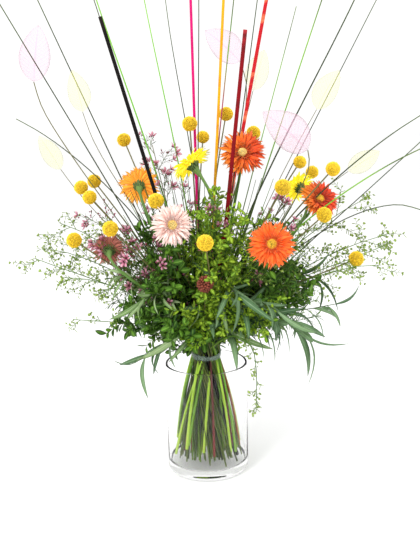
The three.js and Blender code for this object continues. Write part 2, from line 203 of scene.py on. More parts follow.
def grow(name, base, group, **values):
    """Runs a tree on a mesh and keeps the result as a plain mesh object."""
    made = put(name, base)
    modifier = made.modifiers.new("grow", "NODES")
    modifier.node_group = group
    ids = {s.name: s.identifier for s in group.interface.items_tree if s.in_out == "INPUT"}
    for label, value in values.items():
        modifier[ids[label]] = value
    graph = bpy.context.evaluated_depsgraph_get()
    mesh = bpy.data.meshes.new_from_object(made.evaluated_get(graph))
    made.modifiers.clear()
    made.data = mesh
    return made


print("node tree tools ready")

# %% [markdown]
# ## Small tools for pieces
# `rings` reads a stem's middle line back from its CAD node, ring by ring from the foot. `strands` turns
# middle lines into a mesh of bare edges that carries a thickness, ready for the stem tree. `piece`
# joins meshes into one finished piece, ties it to the body and hides the CAD node it stands for.

# %% Piece tools
def rings(name):
    """A CAD stem's rings from its foot up, as (middle, radius), as far as it is one plain tube."""
    shape = bmesh.new()
    shape.from_mesh(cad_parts[name].data)
    bmesh.ops.remove_doubles(shape, verts=shape.verts, dist=1e-6)
    lowest = min(v.co.z for v in shape.verts)
    foot = [v for v in shape.verts if v.co.z < lowest + 0.006]
    middle = sum((v.co for v in foot), Vector()) / len(foot)
    level = {min(foot, key=lambda v: (v.co - middle).length)}
    seen, found, sides = set(level), [], None
    while level:
        level = {e.other_vert(v) for v in level for e in v.link_edges} - seen
        seen |= level
        sides = sides or len(level)
        if len(level) != sides:
            break
        centre = sum((v.co for v in level), Vector()) / sides
        found.append((centre, sum((v.co - centre).length for v in level) / sides))
    shape.free()
    return found


def strands(name, lines):
    """Bare edges along each line of (point, thickness, leafy) triples."""
    points, edges = [], []
    for line in lines:
        first = len(points)
        points += line
        edges += [(i, i + 1) for i in range(first, len(points) - 1)]
    mesh = bpy.data.meshes.new(name)
    mesh.from_pydata([p[0] for p in points], edges, [])
    for label, column in (("thickness", 1), ("leafy", 2)):
        mesh.attributes.new(label, "FLOAT", "POINT").data.foreach_set(
            "value", [float(p[column]) for p in points])
    return mesh


def spots(name, places):
    """Bare points from (point, heading, size) triples."""
    mesh = bpy.data.meshes.new(name)
    mesh.from_pydata([p[0] for p in places], [], [])
    headings = mesh.attributes.new("heading", "FLOAT_VECTOR", "POINT")
    headings.data.foreach_set("vector", [v for p in places for v in p[1]])
    sizes = mesh.attributes.new("size", "FLOAT", "POINT")
    sizes.data.foreach_set("value", [float(p[2]) for p in places])
    return mesh


def blade(name, across, along, width, lift=lambda t: 0.0, fold=0.0, thick=0.012, notch=0.0):
    """A thin closed leaf of length 1 along X: two sheets that share their rim."""
    points, marks, sheets = [], [], []
    for side in (1, -1):
        sheet = []
        for i in range(along + 1):
            row, t = [], i / along
            for j in range(across + 1):
                v = 2 * j / across - 1
                rim = i in (0, along) or j in (0, across)
                if rim and side < 0:
                    row.append(sheets[0][i][j])
                    continue
                bulge = 0 if rim else side * thick * (1 - v * v)
                row.append(len(points))
                points.append((t - notch * t ** 6 * v * v, v * width(t),
                               lift(t) + fold * width(t) * v * v + bulge))
                marks.append((t, v))
            sheet.append(row)
        sheets.append(sheet)
    faces = []
    for side, sheet in enumerate(sheets):
        for i in range(along):
            for j in range(across):
                face = (sheet[i][j], sheet[i + 1][j], sheet[i + 1][j + 1], sheet[i][j + 1])
                faces.append(face if side == 0 else face[::-1])
    return solid(name, points, faces, marks)


def solid(name, points, faces, marks):
    """A mesh whose points carry how far along and across they lie."""
    mesh = bpy.data.meshes.new(name)
    mesh.from_pydata(points, [], faces)
    for label, column in (("along", 0), ("across", 1)):
        mesh.attributes.new(label, "FLOAT", "POINT").data.foreach_set(
            "value", [float(m[column]) for m in marks])
    mesh.shade_smooth()
    return mesh


def stock(mesh):
    """An unseen object that a tree can take its repeated shape from."""
    return bpy.data.objects.new(mesh.name, mesh)


def piece(made, slot, *nodes):
    """Joins objects into one piece, ties it to the body and hides the CAD nodes it stands for."""
    made = made if isinstance(made, list) else [made]
    if len(made) > 1:
        with bpy.context.temp_override(active_object=made[0], object=made[0],
                                       selected_editable_objects=made, selected_objects=made):
            bpy.ops.object.join()
    whole = made[0]
    whole.data.name = whole.name
    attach(whole, "root")
    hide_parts(*nodes)
    return whole


def through(slot, z, twist=TWIST):
    """Where the stem that crosses the tie at this slot is, at height z, while it runs straight."""
    turn = twist * (z - TIE_HEIGHT)
    return Vector((slot[0] + turn * slot[1], slot[1] - turn * slot[0], z))


def route(slot, tip, steps=9, arrive=None, sag=0.0):
    """A stem's middle line: straight from foot to tie, then an easy curve out to its tip."""
    tip = Vector(tip)
    tie = through(slot, TIE_HEIGHT)
    leave = (through(slot, TIE_HEIGHT + 0.01) - tie).normalized()
    reach = (tip - tie).length
    arrive = Vector(arrive).normalized() if arrive else (tip - tie).normalized()
    line = [through(slot, FOOT_HEIGHT), through(slot, TIE_HEIGHT - 0.02)]
    for i in range(steps + 1):
        t = i / steps
        a, b = 2 * t ** 3 - 3 * t ** 2 + 1, t ** 3 - 2 * t ** 2 + t
        c, d = -2 * t ** 3 + 3 * t ** 2, t ** 3 - t ** 2
        at = a * tie + b * reach * 0.8 * leave + c * tip + d * reach * 0.8 * arrive
        line.append(at - Vector((0, 0, sag * 4 * t * (1 - t))))
    return line


def taper(line, low, high, leafy_from=2.0):
    """Gives a middle line its thickness from foot to tip, and says where its leaves start."""
    last = len(line) - 1
    return [(p, low + (high - low) * i / last, 1.0 if i / last >= leafy_from else 0.0)
            for i, p in enumerate(line)]


def upright(axis, at):
    """The matrix that stands something made round Z on a place, looking along an axis."""
    return Matrix.Translation(at) @ axis.to_track_quat("Z", "Y").to_matrix().to_4x4()


print("a gerbera stem has", len(rings("gerbera_orange_front_stem")), "rings, a pennycress stem",
      len(rings("pennycress_left")), "up to its first twig")

# %% [markdown]
# ## The stem tree
# Every stem, stick and blade is one line with a thickness along it. The tree smooths the line, gives it
# enough steps to bend evenly and wraps a round skin on it. `along` runs from 0 at the foot to 1 at the
# tip, for colours that change on the way up.

# %% Stem tree
def stem_tree():
    g, given = tree("stem", Sides=8, Steps=28, Flatten=1.0, Material="Material")
    line = out(add(g, "GeometryNodeMeshToCurve", {"Mesh": given["Geometry"]}))
    line = out(add(g, "GeometryNodeCurveSplineType", {"Curve": line}, spline_type="CATMULL_ROM"))
    line = out(add(g, "GeometryNodeResampleCurve", {"Curve": line, "Count": given["Steps"]}))
    along = out(add(g, "GeometryNodeSplineParameter"), "Factor")
    line = store(g, line, "along", along)
    line = store(g, line, "tint", chance(g, 0.0, 1.0, 3.0, 5), "CURVE")
    ring = out(add(g, "GeometryNodeCurvePrimitiveCircle", {"Resolution": given["Sides"], "Radius": 1.0}))
    flat = vector(g, 1.0, given["Flatten"], 1.0)
    ring = out(add(g, "GeometryNodeTransform", {"Geometry": ring, "Scale": flat}))
    skin = out(add(g, "GeometryNodeCurveToMesh",
                   {"Curve": line, "Profile Curve": ring, "Scale": kept(g, "thickness"), "Fill Caps": True}))
    skin = out(add(g, "GeometryNodeSetShadeSmooth", {"Geometry": skin}))
    return dress(g, real(g, skin), given)


STEM = stem_tree()


def tubes(name, lines, material, **shape):
    """The stem tree run on lines of (point, thickness, leafy), as one mesh."""
    return grow(name, strands("line", lines), STEM, Material=material, **shape)


print("stem tree:", len(STEM.nodes), "nodes")

# %% [markdown]
# ## The whorl tree
# Gerbera rays sit in rings round the disc. One whorl puts `Count` rays round a circle, tilts each up by
# `Tilt`, and lets chance turn, tilt and stretch it a little, so that no two rays match. A soft wave
# through the whole ring then bends the ray ends.

# %% Whorl tree
def whorl_tree():
    g, given = tree("whorl", Ray="Object", Count=30, Radius=0.006, Rise=0.0, Tilt=0.2, Loose=0.1,
                    Length=0.03, Width=1.0, Wave=0.003, Phase=0.0, Seed=1, Material="Material")
    seed = given["Seed"]
    place = out(add(g, "GeometryNodeInputIndex"))
    step = maths(g, "DIVIDE", 2 * math.pi, given["Count"])
    turn = times(g, plus(g, place, given["Phase"]), step)
    turn = plus(g, turn, times(g, step, chance(g, -0.4, 0.4, seed, 1)))
    at = vector(g, times(g, maths(g, "COSINE", turn), given["Radius"]),
                times(g, maths(g, "SINE", turn), given["Radius"]), given["Rise"])
    points = out(add(g, "GeometryNodePoints", {"Count": given["Count"], "Position": at}))
    tilt = plus(g, given["Tilt"], times(g, given["Loose"], chance(g, -1.0, 1.0, seed, 2)))
    roll = times(g, given["Loose"], chance(g, -2.5, 2.5, seed, 3))
    pose = out(add(g, "FunctionNodeEulerToRotation",
                   {0: vector(g, roll, times(g, tilt, -1.0), turn)}))
    length = times(g, given["Length"], chance(g, 0.80, 1.05, seed, 4))
    wide = times(g, times(g, given["Length"], given["Width"]),
                 chance(g, 0.85, 1.1, seed, 5))
    size = vector(g, length, wide, length)
    rays = real(g, sow(g, points, given["Ray"], pose, size, chance(g, 0.0, 1.0, seed, 6)))
    wave = out(add(g, "ShaderNodeTexNoise", {"Scale": 55.0, "Detail": 1.0, "W": times(g, seed, 1.7)},
                   noise_dimensions="4D"), "Color")
    wave = arrow(g, "SUBTRACT", wave, (0.5, 0.5, 0.5))
    amount = times(g, given["Wave"], kept(g, "along"))
    wave = arrow(g, "SCALE", wave, amount)
    rays = out(add(g, "GeometryNodeSetPosition", {"Geometry": rays, "Offset": wave}))
    return dress(g, rays, given)


WHORL = whorl_tree()
print("whorl tree:", len(WHORL.nodes), "nodes")

# %% [markdown]
# ## The floret tree
# A craspedia ball and a gerbera disc are both packed florets. Each next one turns on by the golden
# angle, which is how a real flower packs them. `Cap` is how much of the ball is covered: 2 is all of
# it, and a small number leaves a shallow dome.

# %% Floret tree
def floret_tree():
    g, given = tree("florets", Floret="Object", Count=300, Radius=0.012, Cap=2.0, Flatten=1.0, Size=0.002,
                    Seed=1, Material="Material")
    seed = given["Seed"]
    place = out(add(g, "GeometryNodeInputIndex"))
    part = maths(g, "DIVIDE", plus(g, place, 0.5), given["Count"])
    z = maths(g, "SUBTRACT", 1.0, times(g, part, given["Cap"]))
    round_ = maths(g, "SQRT", maths(g, "SUBTRACT", 1.0, times(g, z, z)))
    turn = times(g, place, GOLDEN)
    way = vector(g, times(g, maths(g, "COSINE", turn), round_),
                 times(g, maths(g, "SINE", turn), round_), z)
    flat = arrow(g, "MULTIPLY", way, vector(g, 1.0, 1.0, given["Flatten"]))
    reach = times(g, given["Radius"], chance(g, 0.96, 1.02, seed, 1))
    at = arrow(g, "SCALE", flat, reach)
    points = out(add(g, "GeometryNodePoints", {"Count": given["Count"], "Position": at}))
    lean = arrow(g, "ADD", way, vector(g, chance(g, -0.25, 0.25, seed, 2), chance(g, -0.25, 0.25, seed, 3)))
    pose = out(add(g, "FunctionNodeAlignRotationToVector", {"Vector": lean}, axis="Z"))
    size = times(g, given["Size"], chance(g, 0.8, 1.2, seed, 4))
    made = sow(g, points, given["Floret"], pose, vector(g, size, size, size), chance(g, 0.0, 1.0, seed, 5))
    made = store(g, made, "ring", part, "INSTANCE")
    return dress(g, real(g, made), given)


FLORETS = floret_tree()
print("floret tree:", len(FLORETS.nodes), "nodes")

# %% [markdown]
# ## The sprig tree
# Leaves and pods leave a twig one after another, each turned on round it by `Turn` and leaning out by
# `Lean`. They grow only where the line is marked leafy.

# %% Sprig tree
def sprig_tree():
    g, given = tree("sprig", Leaf="Object", Spacing=0.01, Lean=0.9, Turn=GOLDEN, Size=0.03, Spread=0.25,
                    Fall=0.0, Seed=1, Material="Material")
    seed = given["Seed"]
    line = out(add(g, "GeometryNodeMeshToCurve", {"Mesh": given["Geometry"]}))
    line = out(add(g, "GeometryNodeCurveSplineType", {"Curve": line}, spline_type="CATMULL_ROM"))
    walk = add(g, "GeometryNodeCurveToPoints", {"Curve": line, "Length": given["Spacing"]}, mode="LENGTH")
    tangent, normal = out(walk, "Tangent"), out(walk, "Normal")
    place = out(add(g, "GeometryNodeInputIndex"))
    angle = plus(g, times(g, place, given["Turn"]), chance(g, -0.5, 0.5, seed, 1))
    side = out(add(g, "ShaderNodeVectorRotate", {"Vector": normal, "Axis": tangent, "Angle": angle}))
    lean = plus(g, given["Lean"], chance(g, -0.25, 0.25, seed, 2))
    on = arrow(g, "SCALE", tangent, maths(g, "COSINE", lean))
    off = arrow(g, "SCALE", side, maths(g, "SINE", lean))
    way = arrow(g, "ADD", on, off)
    fall = vector(g, 0.0, 0.0, times(g, given["Fall"], -1.0))
    way = arrow(g, "ADD", way, fall)
    pose = out(add(g, "FunctionNodeAxesToRotation", {"Primary Axis": way, "Secondary Axis": tangent},
                   primary_axis="X", secondary_axis="Z"))
    pose = rolled(g, pose, chance(g, -0.6, 0.6, seed, 3))
    size = times(g, given["Size"], plus(g, 1.0, times(g, given["Spread"], chance(g, -1.0, 1.0, seed, 4))))
    leafy = maths(g, "GREATER_THAN", kept(g, "leafy"), 0.5)
    made = sow(g, out(walk, "Points"), given["Leaf"], pose, vector(g, size, size, size),
               chance(g, 0.0, 1.0, seed, 5), Selection=leafy)
    return dress(g, real(g, made), given)


SPRIG = sprig_tree()
print("sprig tree:", len(SPRIG.nodes), "nodes")

# %% [markdown]
# ## The posy tree
# Small flowers, buds and loose leaves sit on marked points, each looking along its own heading.

# %% Posy tree
def posy_tree():
    g, given = tree("posy", Item="Object", Seed=1, Material="Material")
    seed = given["Seed"]
    heading = kept(g, "heading", "FLOAT_VECTOR")
    pose = out(add(g, "FunctionNodeAlignRotationToVector", {"Vector": heading}, axis="X"))
    pose = rolled(g, pose, chance(g, -3.1, 3.1, seed, 1))
    size = times(g, kept(g, "size"), chance(g, 0.85, 1.15, seed, 2))
    made = sow(g, given["Geometry"], given["Item"], pose, vector(g, size, size, size),
               chance(g, 0.0, 1.0, seed, 3))
    return dress(g, real(g, made), given)


POSY = posy_tree()
print("posy tree:", len(POSY.nodes), "nodes")

# %% [markdown]
# ## Material tools
# Each material starts from one Principled shader. Colours are written as ordinary hex paints and turned
# into the linear values that the shader works in. `along`, `across` and `tint` are the numbers that the
# trees left on each shape.

# %% Material tools
def paint(code):
    """A hex colour in linear light, with full alpha."""
    parts = [int(code[i:i + 2], 16) / 255 for i in (0, 2, 4)]
    return [p / 12.92 if p <= 0.04045 else ((p + 0.055) / 1.055) ** 2.4 for p in parts] + [1.0]


def start(name, rough, **fixed):
    """A material, its node group and its Principled shader."""
    material = bpy.data.materials.new(name)
    material.use_nodes = True
    skin = material.node_tree.nodes["Principled BSDF"]
    skin.inputs["Roughness"].default_value = rough
    for label, value in fixed.items():
        skin.inputs[label.replace("_", " ")].default_value = value
    return material, material.node_tree, skin


def read(group, name):
    """A number that a tree left on the shape."""
    return out(add(group, "ShaderNodeAttribute", attribute_name=name), "Fac")


def ramp(group, factor, *stops):
    """A colour that changes with a number."""
    made = add(group, "ShaderNodeValToRGB", {"Fac": factor})
    ends = made.color_ramp.elements
    while len(ends) < len(stops):
        ends.new(0.5)
    for end, (place, code) in zip(ends, stops):
        end.position, end.color = place, paint(code)
    return out(made, "Color")


def mix(group, factor, first, second, blend="MIX"):
    """Two colours mixed."""
    made = add(group, "ShaderNodeMix", data_type="RGBA", blend_type=blend)
    for key, value in (("Factor", factor), ("A", first), ("B", second)):
        socket = socket_of(made.inputs, key)
        if isinstance(value, bpy.types.NodeSocket):
            group.links.new(value, socket)
        else:
            socket.default_value = paint(value) if isinstance(value, str) else value
    return out(made, "Result")


def noise(group, where, scale, detail=2.0):
    """Soft noise, 0 to 1."""
    return out(add(group, "ShaderNodeTexNoise", {"Vector": where, "Scale": scale, "Detail": detail}), "Fac")


def space(group, x=1.0, y=1.0, z=1.0):
    """The object's own space, stretched along its axes."""
    where = out(add(group, "ShaderNodeTexCoord"), "Object")
    return arrow(group, "MULTIPLY", where, (x, y, z))


def surface(group, factor, first, second):
    """Two shaders mixed, connected as the surface."""
    both = out(add(group, "ShaderNodeMixShader", (factor, first, second)))
    group.links.new(both, group.nodes["Material Output"].inputs["Surface"])
    return both


def finish(group, skin, colour, height=None, relief=0.0003, glow=0.0):
    """Connects a colour, a relief and some light let through from behind."""
    group.links.new(colour, skin.inputs["Base Color"])
    if height is not None:
        bump = out(add(group, "ShaderNodeBump", {"Height": height, "Distance": relief, "Strength": 1.0}))
        group.links.new(bump, skin.inputs["Normal"])
    if glow:
        thin = out(add(group, "ShaderNodeBsdfTranslucent", {"Color": colour}))
        surface(group, glow, skin.outputs[0], thin)


def vary(group, colour, tint, amount=0.25):
    """The same colour a little lighter or darker from one shape to the next."""
    value = plus(group, 1.0 - amount / 2, times(group, tint, amount))
    return out(add(group, "ShaderNodeHueSaturation", {"Color": colour, "Value": value}))


print("orange paint in linear light:", [round(v, 3) for v in paint("f2591c")])

# %% [markdown]
# ## Plant materials
# A ray is deepest near the disc and pales to its tip, with fine veins down its length. Leaves have a
# pale midrib and darker, waxy sides. Stems change colour on the way up, and carry faint lengthwise
# fibres. Petals and leaves let a little light through from behind. Most rays also carry a painted
# glow, light of their own that lifts them out of shade and stands for light coming through thin petals.

# %% Petal, leaf and stem materials
def veined(group, colour, along, across, tint, dark):
    """Fine darker lines down a ray, different from ray to ray."""
    where = vector(group, times(group, along, 1.6), times(group, across, 5.0), times(group, tint, 40.0))
    return mix(group, times(group, noise(group, where, 1.6, 3.0), 0.8), colour, dark, "MULTIPLY")


def petal(name, root, body, tip, dark="f0d8cc", glow=0.06, painted_glow=0.08):
    """A ray's colours from root to tip, with a painted glow that it gives off itself to lift it out of shade.
    """
    material, g, skin = start(name, 0.55, Specular_IOR_Level=0.3, Sheen_Weight=0.15,
                              Emission_Color=paint(body), Emission_Strength=painted_glow)
    along, across, tint = read(g, "along"), read(g, "across"), read(g, "tint")
    colour = ramp(g, along, (0.0, root), (0.3, root), (0.62, body), (0.86, body), (1.0, tip))
    colour = veined(g, colour, along, across, tint, dark)
    colour = vary(g, colour, tint, 0.22)
    ridge = maths(g, "SINE", times(g, across, 9.4))
    finish(g, skin, colour, ridge, 0.00015, glow)
    return material


def leaf(name, deep, pale, rib, rough=0.5, glow=0.08, edge=None):
    """A leaf between two greens, with a paler rib and, if wanted, a tip of its own colour."""
    material, g, skin = start(name, rough, Specular_IOR_Level=0.25)
    along, across, tint = read(g, "along"), read(g, "across"), read(g, "tint")
    colour = mix(g, tint, deep, pale)
    spots = noise(g, space(g), 160.0, 3.0)
    colour = mix(g, times(g, spots, 0.7), colour, "b9c4a6", "MULTIPLY")
    middle = maths(g, "SUBTRACT", 1.0, times(g, maths(g, "ABSOLUTE", across), 7.0))
    middle = out(add(g, "ShaderNodeClamp", {"Value": middle}))
    colour = mix(g, times(g, middle, 0.7), colour, rib)
    if edge:
        colour = mix(g, maths(g, "POWER", along, 5.0), colour, edge)
    slant = maths(g, "SUBTRACT", along, times(g, maths(g, "ABSOLUTE", across), 0.12))
    veins = maths(g, "SINE", times(g, slant, 90.0))
    finish(g, skin, colour, veins, 0.00012, glow)
    return material


def stalk(name, *stops, rough=0.5, fibre=240.0, dark="a8a8a0", relief=0.0002):
    """A fibrous stem whose colour changes at the stops on its way up."""
    material, g, skin = start(name, rough, Specular_IOR_Level=0.35)
    colour = ramp(g, read(g, "along"), *stops)
    grain = noise(g, space(g, 1.0, 1.0, 0.06), fibre * 4, 3.0)
    patch = noise(g, space(g, 1.0, 1.0, 0.5), fibre * 0.4, 2.0)
    colour = mix(g, times(g, grain, 0.8), colour, dark, "MULTIPLY")
    colour = mix(g, times(g, patch, 0.5), colour, dark, "MULTIPLY")
    finish(g, skin, vary(g, colour, read(g, "tint"), 0.2), grain, relief)
    return material


GERBERA_STEM = stalk("gerbera stem",
                     (0.0, "a4c63a"), (0.35, "86b42c"), (0.6, "5c8a34"), (0.9, "64903c"), (1.0, "7ca454"))
CALYX = leaf("calyx bracts", "5f7d44", "86a062", "9ab07c")
GREEN_STEM = stalk("green stem", (0.0, "7ea42c"), (0.3, "5c8a20"), (0.7, "4e7a20"), (1.0, "6c9836"))
DARK_STEM = stalk("dark stem", (0.0, "34480e"), (0.3, "26380c"), (0.7, "34501a"), (1.0, "486a22"))
BROWN_STEM = stalk("brown stem", (0.0, "6c8028"), (0.35, "5e6c22"), (0.6, "6c6a30"), (1.0, "7c7844"))
RUST_STEM = stalk("rust stem", (0.0, "c8641c"), (0.4, "a8541c"), (1.0, "6a4a28"))
GRASS = stalk("steel grass", (0.0, "4c5c26"), (0.5, "2c3c14"), (0.85, "34481e"), (1.0, "5c7434"))
print("stem materials ready")

# %% [markdown]
# ## Repeated shapes
# These are the shapes that the trees repeat: a ray, a bract, a floret, leaves, a pod, a five-petalled
# flower and a bud. Each has only a few dozen faces, because there are thousands of them.

# %% Repeated shapes
def bead(name, sides=6, belly=0.5, top=0.8):
    """A small closed cone-topped bead from z = -0.3 up, for florets and buds."""
    rows = [(-0.3, belly * 0.7), (0.25, belly), (top, belly * 0.55)]
    points, marks = [(0, 0, -0.35)], [(0, 0)]
    for z, r in rows:
        for i in range(sides):
            a = 2 * math.pi * i / sides
            points.append((r * math.cos(a), r * math.sin(a), z))
            marks.append(((z + 0.3) / 1.3, i / sides))
    points.append((0, 0, 1.0))
    marks.append((1, 0))
    faces = []
    for i in range(sides):
        j = (i + 1) % sides
        faces.append((0, 1 + j, 1 + i))
        for row in range(2):
            a = 1 + row * sides
            faces.append((a + i, a + j, a + sides + j, a + sides + i))
        faces.append((1 + 2 * sides + i, 1 + 2 * sides + j, len(points) - 1))
    return stock(solid(name, points, faces, marks))


def joined(name, mesh, poses):
    """Copies of one mesh as one mesh, for a flower made from petals."""
    points, faces, marks = [], [], []
    along, across = (mesh.attributes[k].data for k in ("along", "across"))
    for pose in poses:
        first = len(points)
        points += [pose @ v.co for v in mesh.vertices]
        marks += [(a.value, c.value) for a, c in zip(along, across)]
        faces += [[first + i for i in p.vertices] for p in mesh.polygons]
    return stock(solid(name, points, faces, marks))


def strap(t, base, most, tip, at=0.6):
    """A strap's half width: from base to its most, then in to its tip."""
    if t < at:
        return base + (most - base) * math.sin(math.pi / 2 * t / at)
    return tip + (most - tip) * math.cos(math.pi / 2 * (t - at) / (1 - at)) ** 0.7


RAY = stock(blade("ray", 4, 8, lambda t: strap(t, 0.035, 0.105, 0.016, 0.55),
                  lambda t: 0.10 * math.sin(2.4 * t) - 0.10 * t * t, 0.5, 0.010, 0.08))
SHORT_RAY = stock(blade("short ray", 2, 5, lambda t: strap(t, 0.07, 0.12, 0.03, 0.5),
                        lambda t: 0.16 * t * t, 0.5, 0.02))
BRACT = stock(blade("bract", 2, 6, lambda t: strap(t, 0.10, 0.13, 0.006, 0.35),
                    lambda t: 0.05 * t * t, -0.8, 0.03))
FLORET = bead("floret")
LONG_LEAF = stock(blade("long leaf", 4, 8, lambda t: strap(t, 0.012, 0.068, 0.004, 0.42),
                        lambda t: 0.10 * math.sin(3 * t) - 0.22 * t * t, 0.35, 0.006))
ROUND_LEAF = stock(blade("round leaf", 2, 6, lambda t: strap(t, 0.03, 0.27, 0.02, 0.5),
                         lambda t: -0.12 * t * t, 0.25, 0.012))
POD = stock(blade("pod", 2, 8, lambda t: 0.022 if t < 0.42 else max(
    0.02, 0.27 * math.sin(math.pi * min(1.0, (t - 0.40) / 0.60)) ** 0.6), lambda t: 0.0, 0.0, 0.05, 0.14))
FINE_LEAF = stock(blade("fine leaf", 2, 5, lambda t: strap(t, 0.012, 0.06, 0.004, 0.5),
                        lambda t: -0.1 * t * t, 0.4, 0.008))
PETAL = blade("small petal", 2, 4, lambda t: strap(t, 0.06, 0.27, 0.08, 0.6),
              lambda t: 0.15 * t * t, 0.3, 0.03)
FLOWER = joined("flower", PETAL, [Matrix.Rotation(math.pi / 2, 4, "Y") @ Matrix.Rotation(
    2 * math.pi * i / 5, 4, "Z") @ Matrix.Rotation(-0.5, 4, "Y") @ Matrix.Translation((0.12, 0, 0))
    for i in range(5)])
BUD = joined("bud", bead("bead", 6, 0.42, 0.75).data, [Matrix.Rotation(math.pi / 2, 4, "Y")])
for each in (RAY, FLORET, LONG_LEAF, ROUND_LEAF, POD, FLOWER, BUD):
    print(each.name, len(each.data.polygons), "faces")

# %% [markdown]
# ## Gerberas
# A gerbera is a green stem, a cup of narrow bracts, and a head: three whorls of long rays, two rings of
# short ones and a disc of packed florets. The CAD stem's last rings are the cup, so the line
# from cup to head gives the way that the head looks.

# %% Gerberas
def side_lit_petal(name, left, right, tilt):
    """Rays painted lighter and warmer on the key lamp's side of the head and darker red on the other side:
    painted light and painted shade.
    """
    material, g, skin = start(name, 0.55, Specular_IOR_Level=0.3, Sheen_Weight=0.15)
    along, across, tint = read(g, "along"), read(g, "across"), read(g, "tint")
    # Painted light and shade: rays left of `tilt` in X, towards the key lamp, take the lighter stops, and
    # those right of it the darker red ones.
    parts = out(add(g, "ShaderNodeSeparateXYZ", {0: space(g)}), 0)
    part = plus(g, 0.5, times(g, maths(g, "SUBTRACT", parts, tilt), 28.0))
    side = out(add(g, "ShaderNodeClamp", {"Value": part}))
    colour = mix(g, side, ramp(g, along, *left), ramp(g, along, *right))
    colour = veined(g, colour, along, across, tint, "e8c4b0")
    ridge = maths(g, "SINE", times(g, across, 9.4))
    finish(g, skin, vary(g, colour, tint, 0.25), ridge, 0.00015, 0.06)
    return material


def disc(name, edge, middle):
    """Packed florets: painted shade darkens each floret towards its foot, in the gaps, and it pales to its
    tip.
    """
    material, g, skin = start(name, 0.7)
    colour = mix(g, read(g, "ring"), middle, edge)
    # Painted shade: each floret is darker at its foot, down in the gaps.
    shade = ramp(g, read(g, "along"), (0.0, "b08a50"), (0.45, "f2ead0"), (1.0, "ffffff"))
    colour = mix(g, 1.0, colour, shade, "MULTIPLY")
    finish(g, skin, vary(g, colour, read(g, "tint"), 0.3), noise(g, space(g), 1500.0), 0.0002)
    return material


ORANGE = petal("orange rays", "ff540e", "ff701c", "ffb070", painted_glow=0.14)
AMBER = petal("amber rays", "ffa028", "ffb83c", "ffdc80", painted_glow=0.30)
GOLD = petal("golden rays", "ffe61c", "fff02c", "fff660", "f8f0d0", painted_glow=0.34)
LEMON = petal("lemon rays", "ffe81c", "fff42c", "fff97a", "f8f0d0", painted_glow=0.40)
PEACH = petal("peach rays", "ffcec0", "ffe4dc", "fffaf6", "f8e8e0", painted_glow=0.12)
DUSTY = petal("dusty rays", "a85a4c", "bc7464", "d8a490")
ORANGE_PAINTED_LIT_SIDE = side_lit_petal("orange and red rays", ((0.0, "ff6c10"), (0.8, "ff8c1c"), (1.0, "ffb04c")),
                       ((0.0, "f0440c"), (0.8, "ff5e1a"), (1.0, "ff8840")), 0.076)
AMBER_PAINTED_LIT_SIDE = side_lit_petal("amber and red rays", ((0.0, "ff8a10"), (0.8, "ff9a1e"), (1.0, "ffbc4c")),
                       ((0.0, "e8340c"), (0.8, "ff4e16"), (1.0, "ff7a34")), 0.196)
YELLOW_DISC = disc("yellow disc", "f0a01c", "ffd84a")
PALE_DISC = disc("pale disc", "f2c850", "ffeaa0")

# Name, ray material, disc material, disc radius, material slot, seed.
GERBERAS = [
    ("orange_front", ORANGE, YELLOW_DISC, 0.0085, "orange_petals", 11),
    ("orange_top", ORANGE_PAINTED_LIT_SIDE, PALE_DISC, 0.0080, "orange_petals", 22),
    ("red_right", AMBER_PAINTED_LIT_SIDE, YELLOW_DISC, 0.0080, "red_petals", 33),
    ("yellow_upper", GOLD, YELLOW_DISC, 0.0080, "yellow_petals", 44),
    ("amber_left", AMBER, YELLOW_DISC, 0.0080, "orange_petals", 55),
    ("peach", PEACH, PALE_DISC, 0.0080, "peach_petals", 66),
    ("yellow_right", LEMON, YELLOW_DISC, 0.0075, "yellow_petals", 77),
    ("dusty_left", DUSTY, YELLOW_DISC, 0.0070, "dusty_petals", 88),
]


def dot():
    """A mesh of one point, for trees that make their own points."""
    return spots("seed point", [((0, 0, 0), (0, 0, 1), 1)])


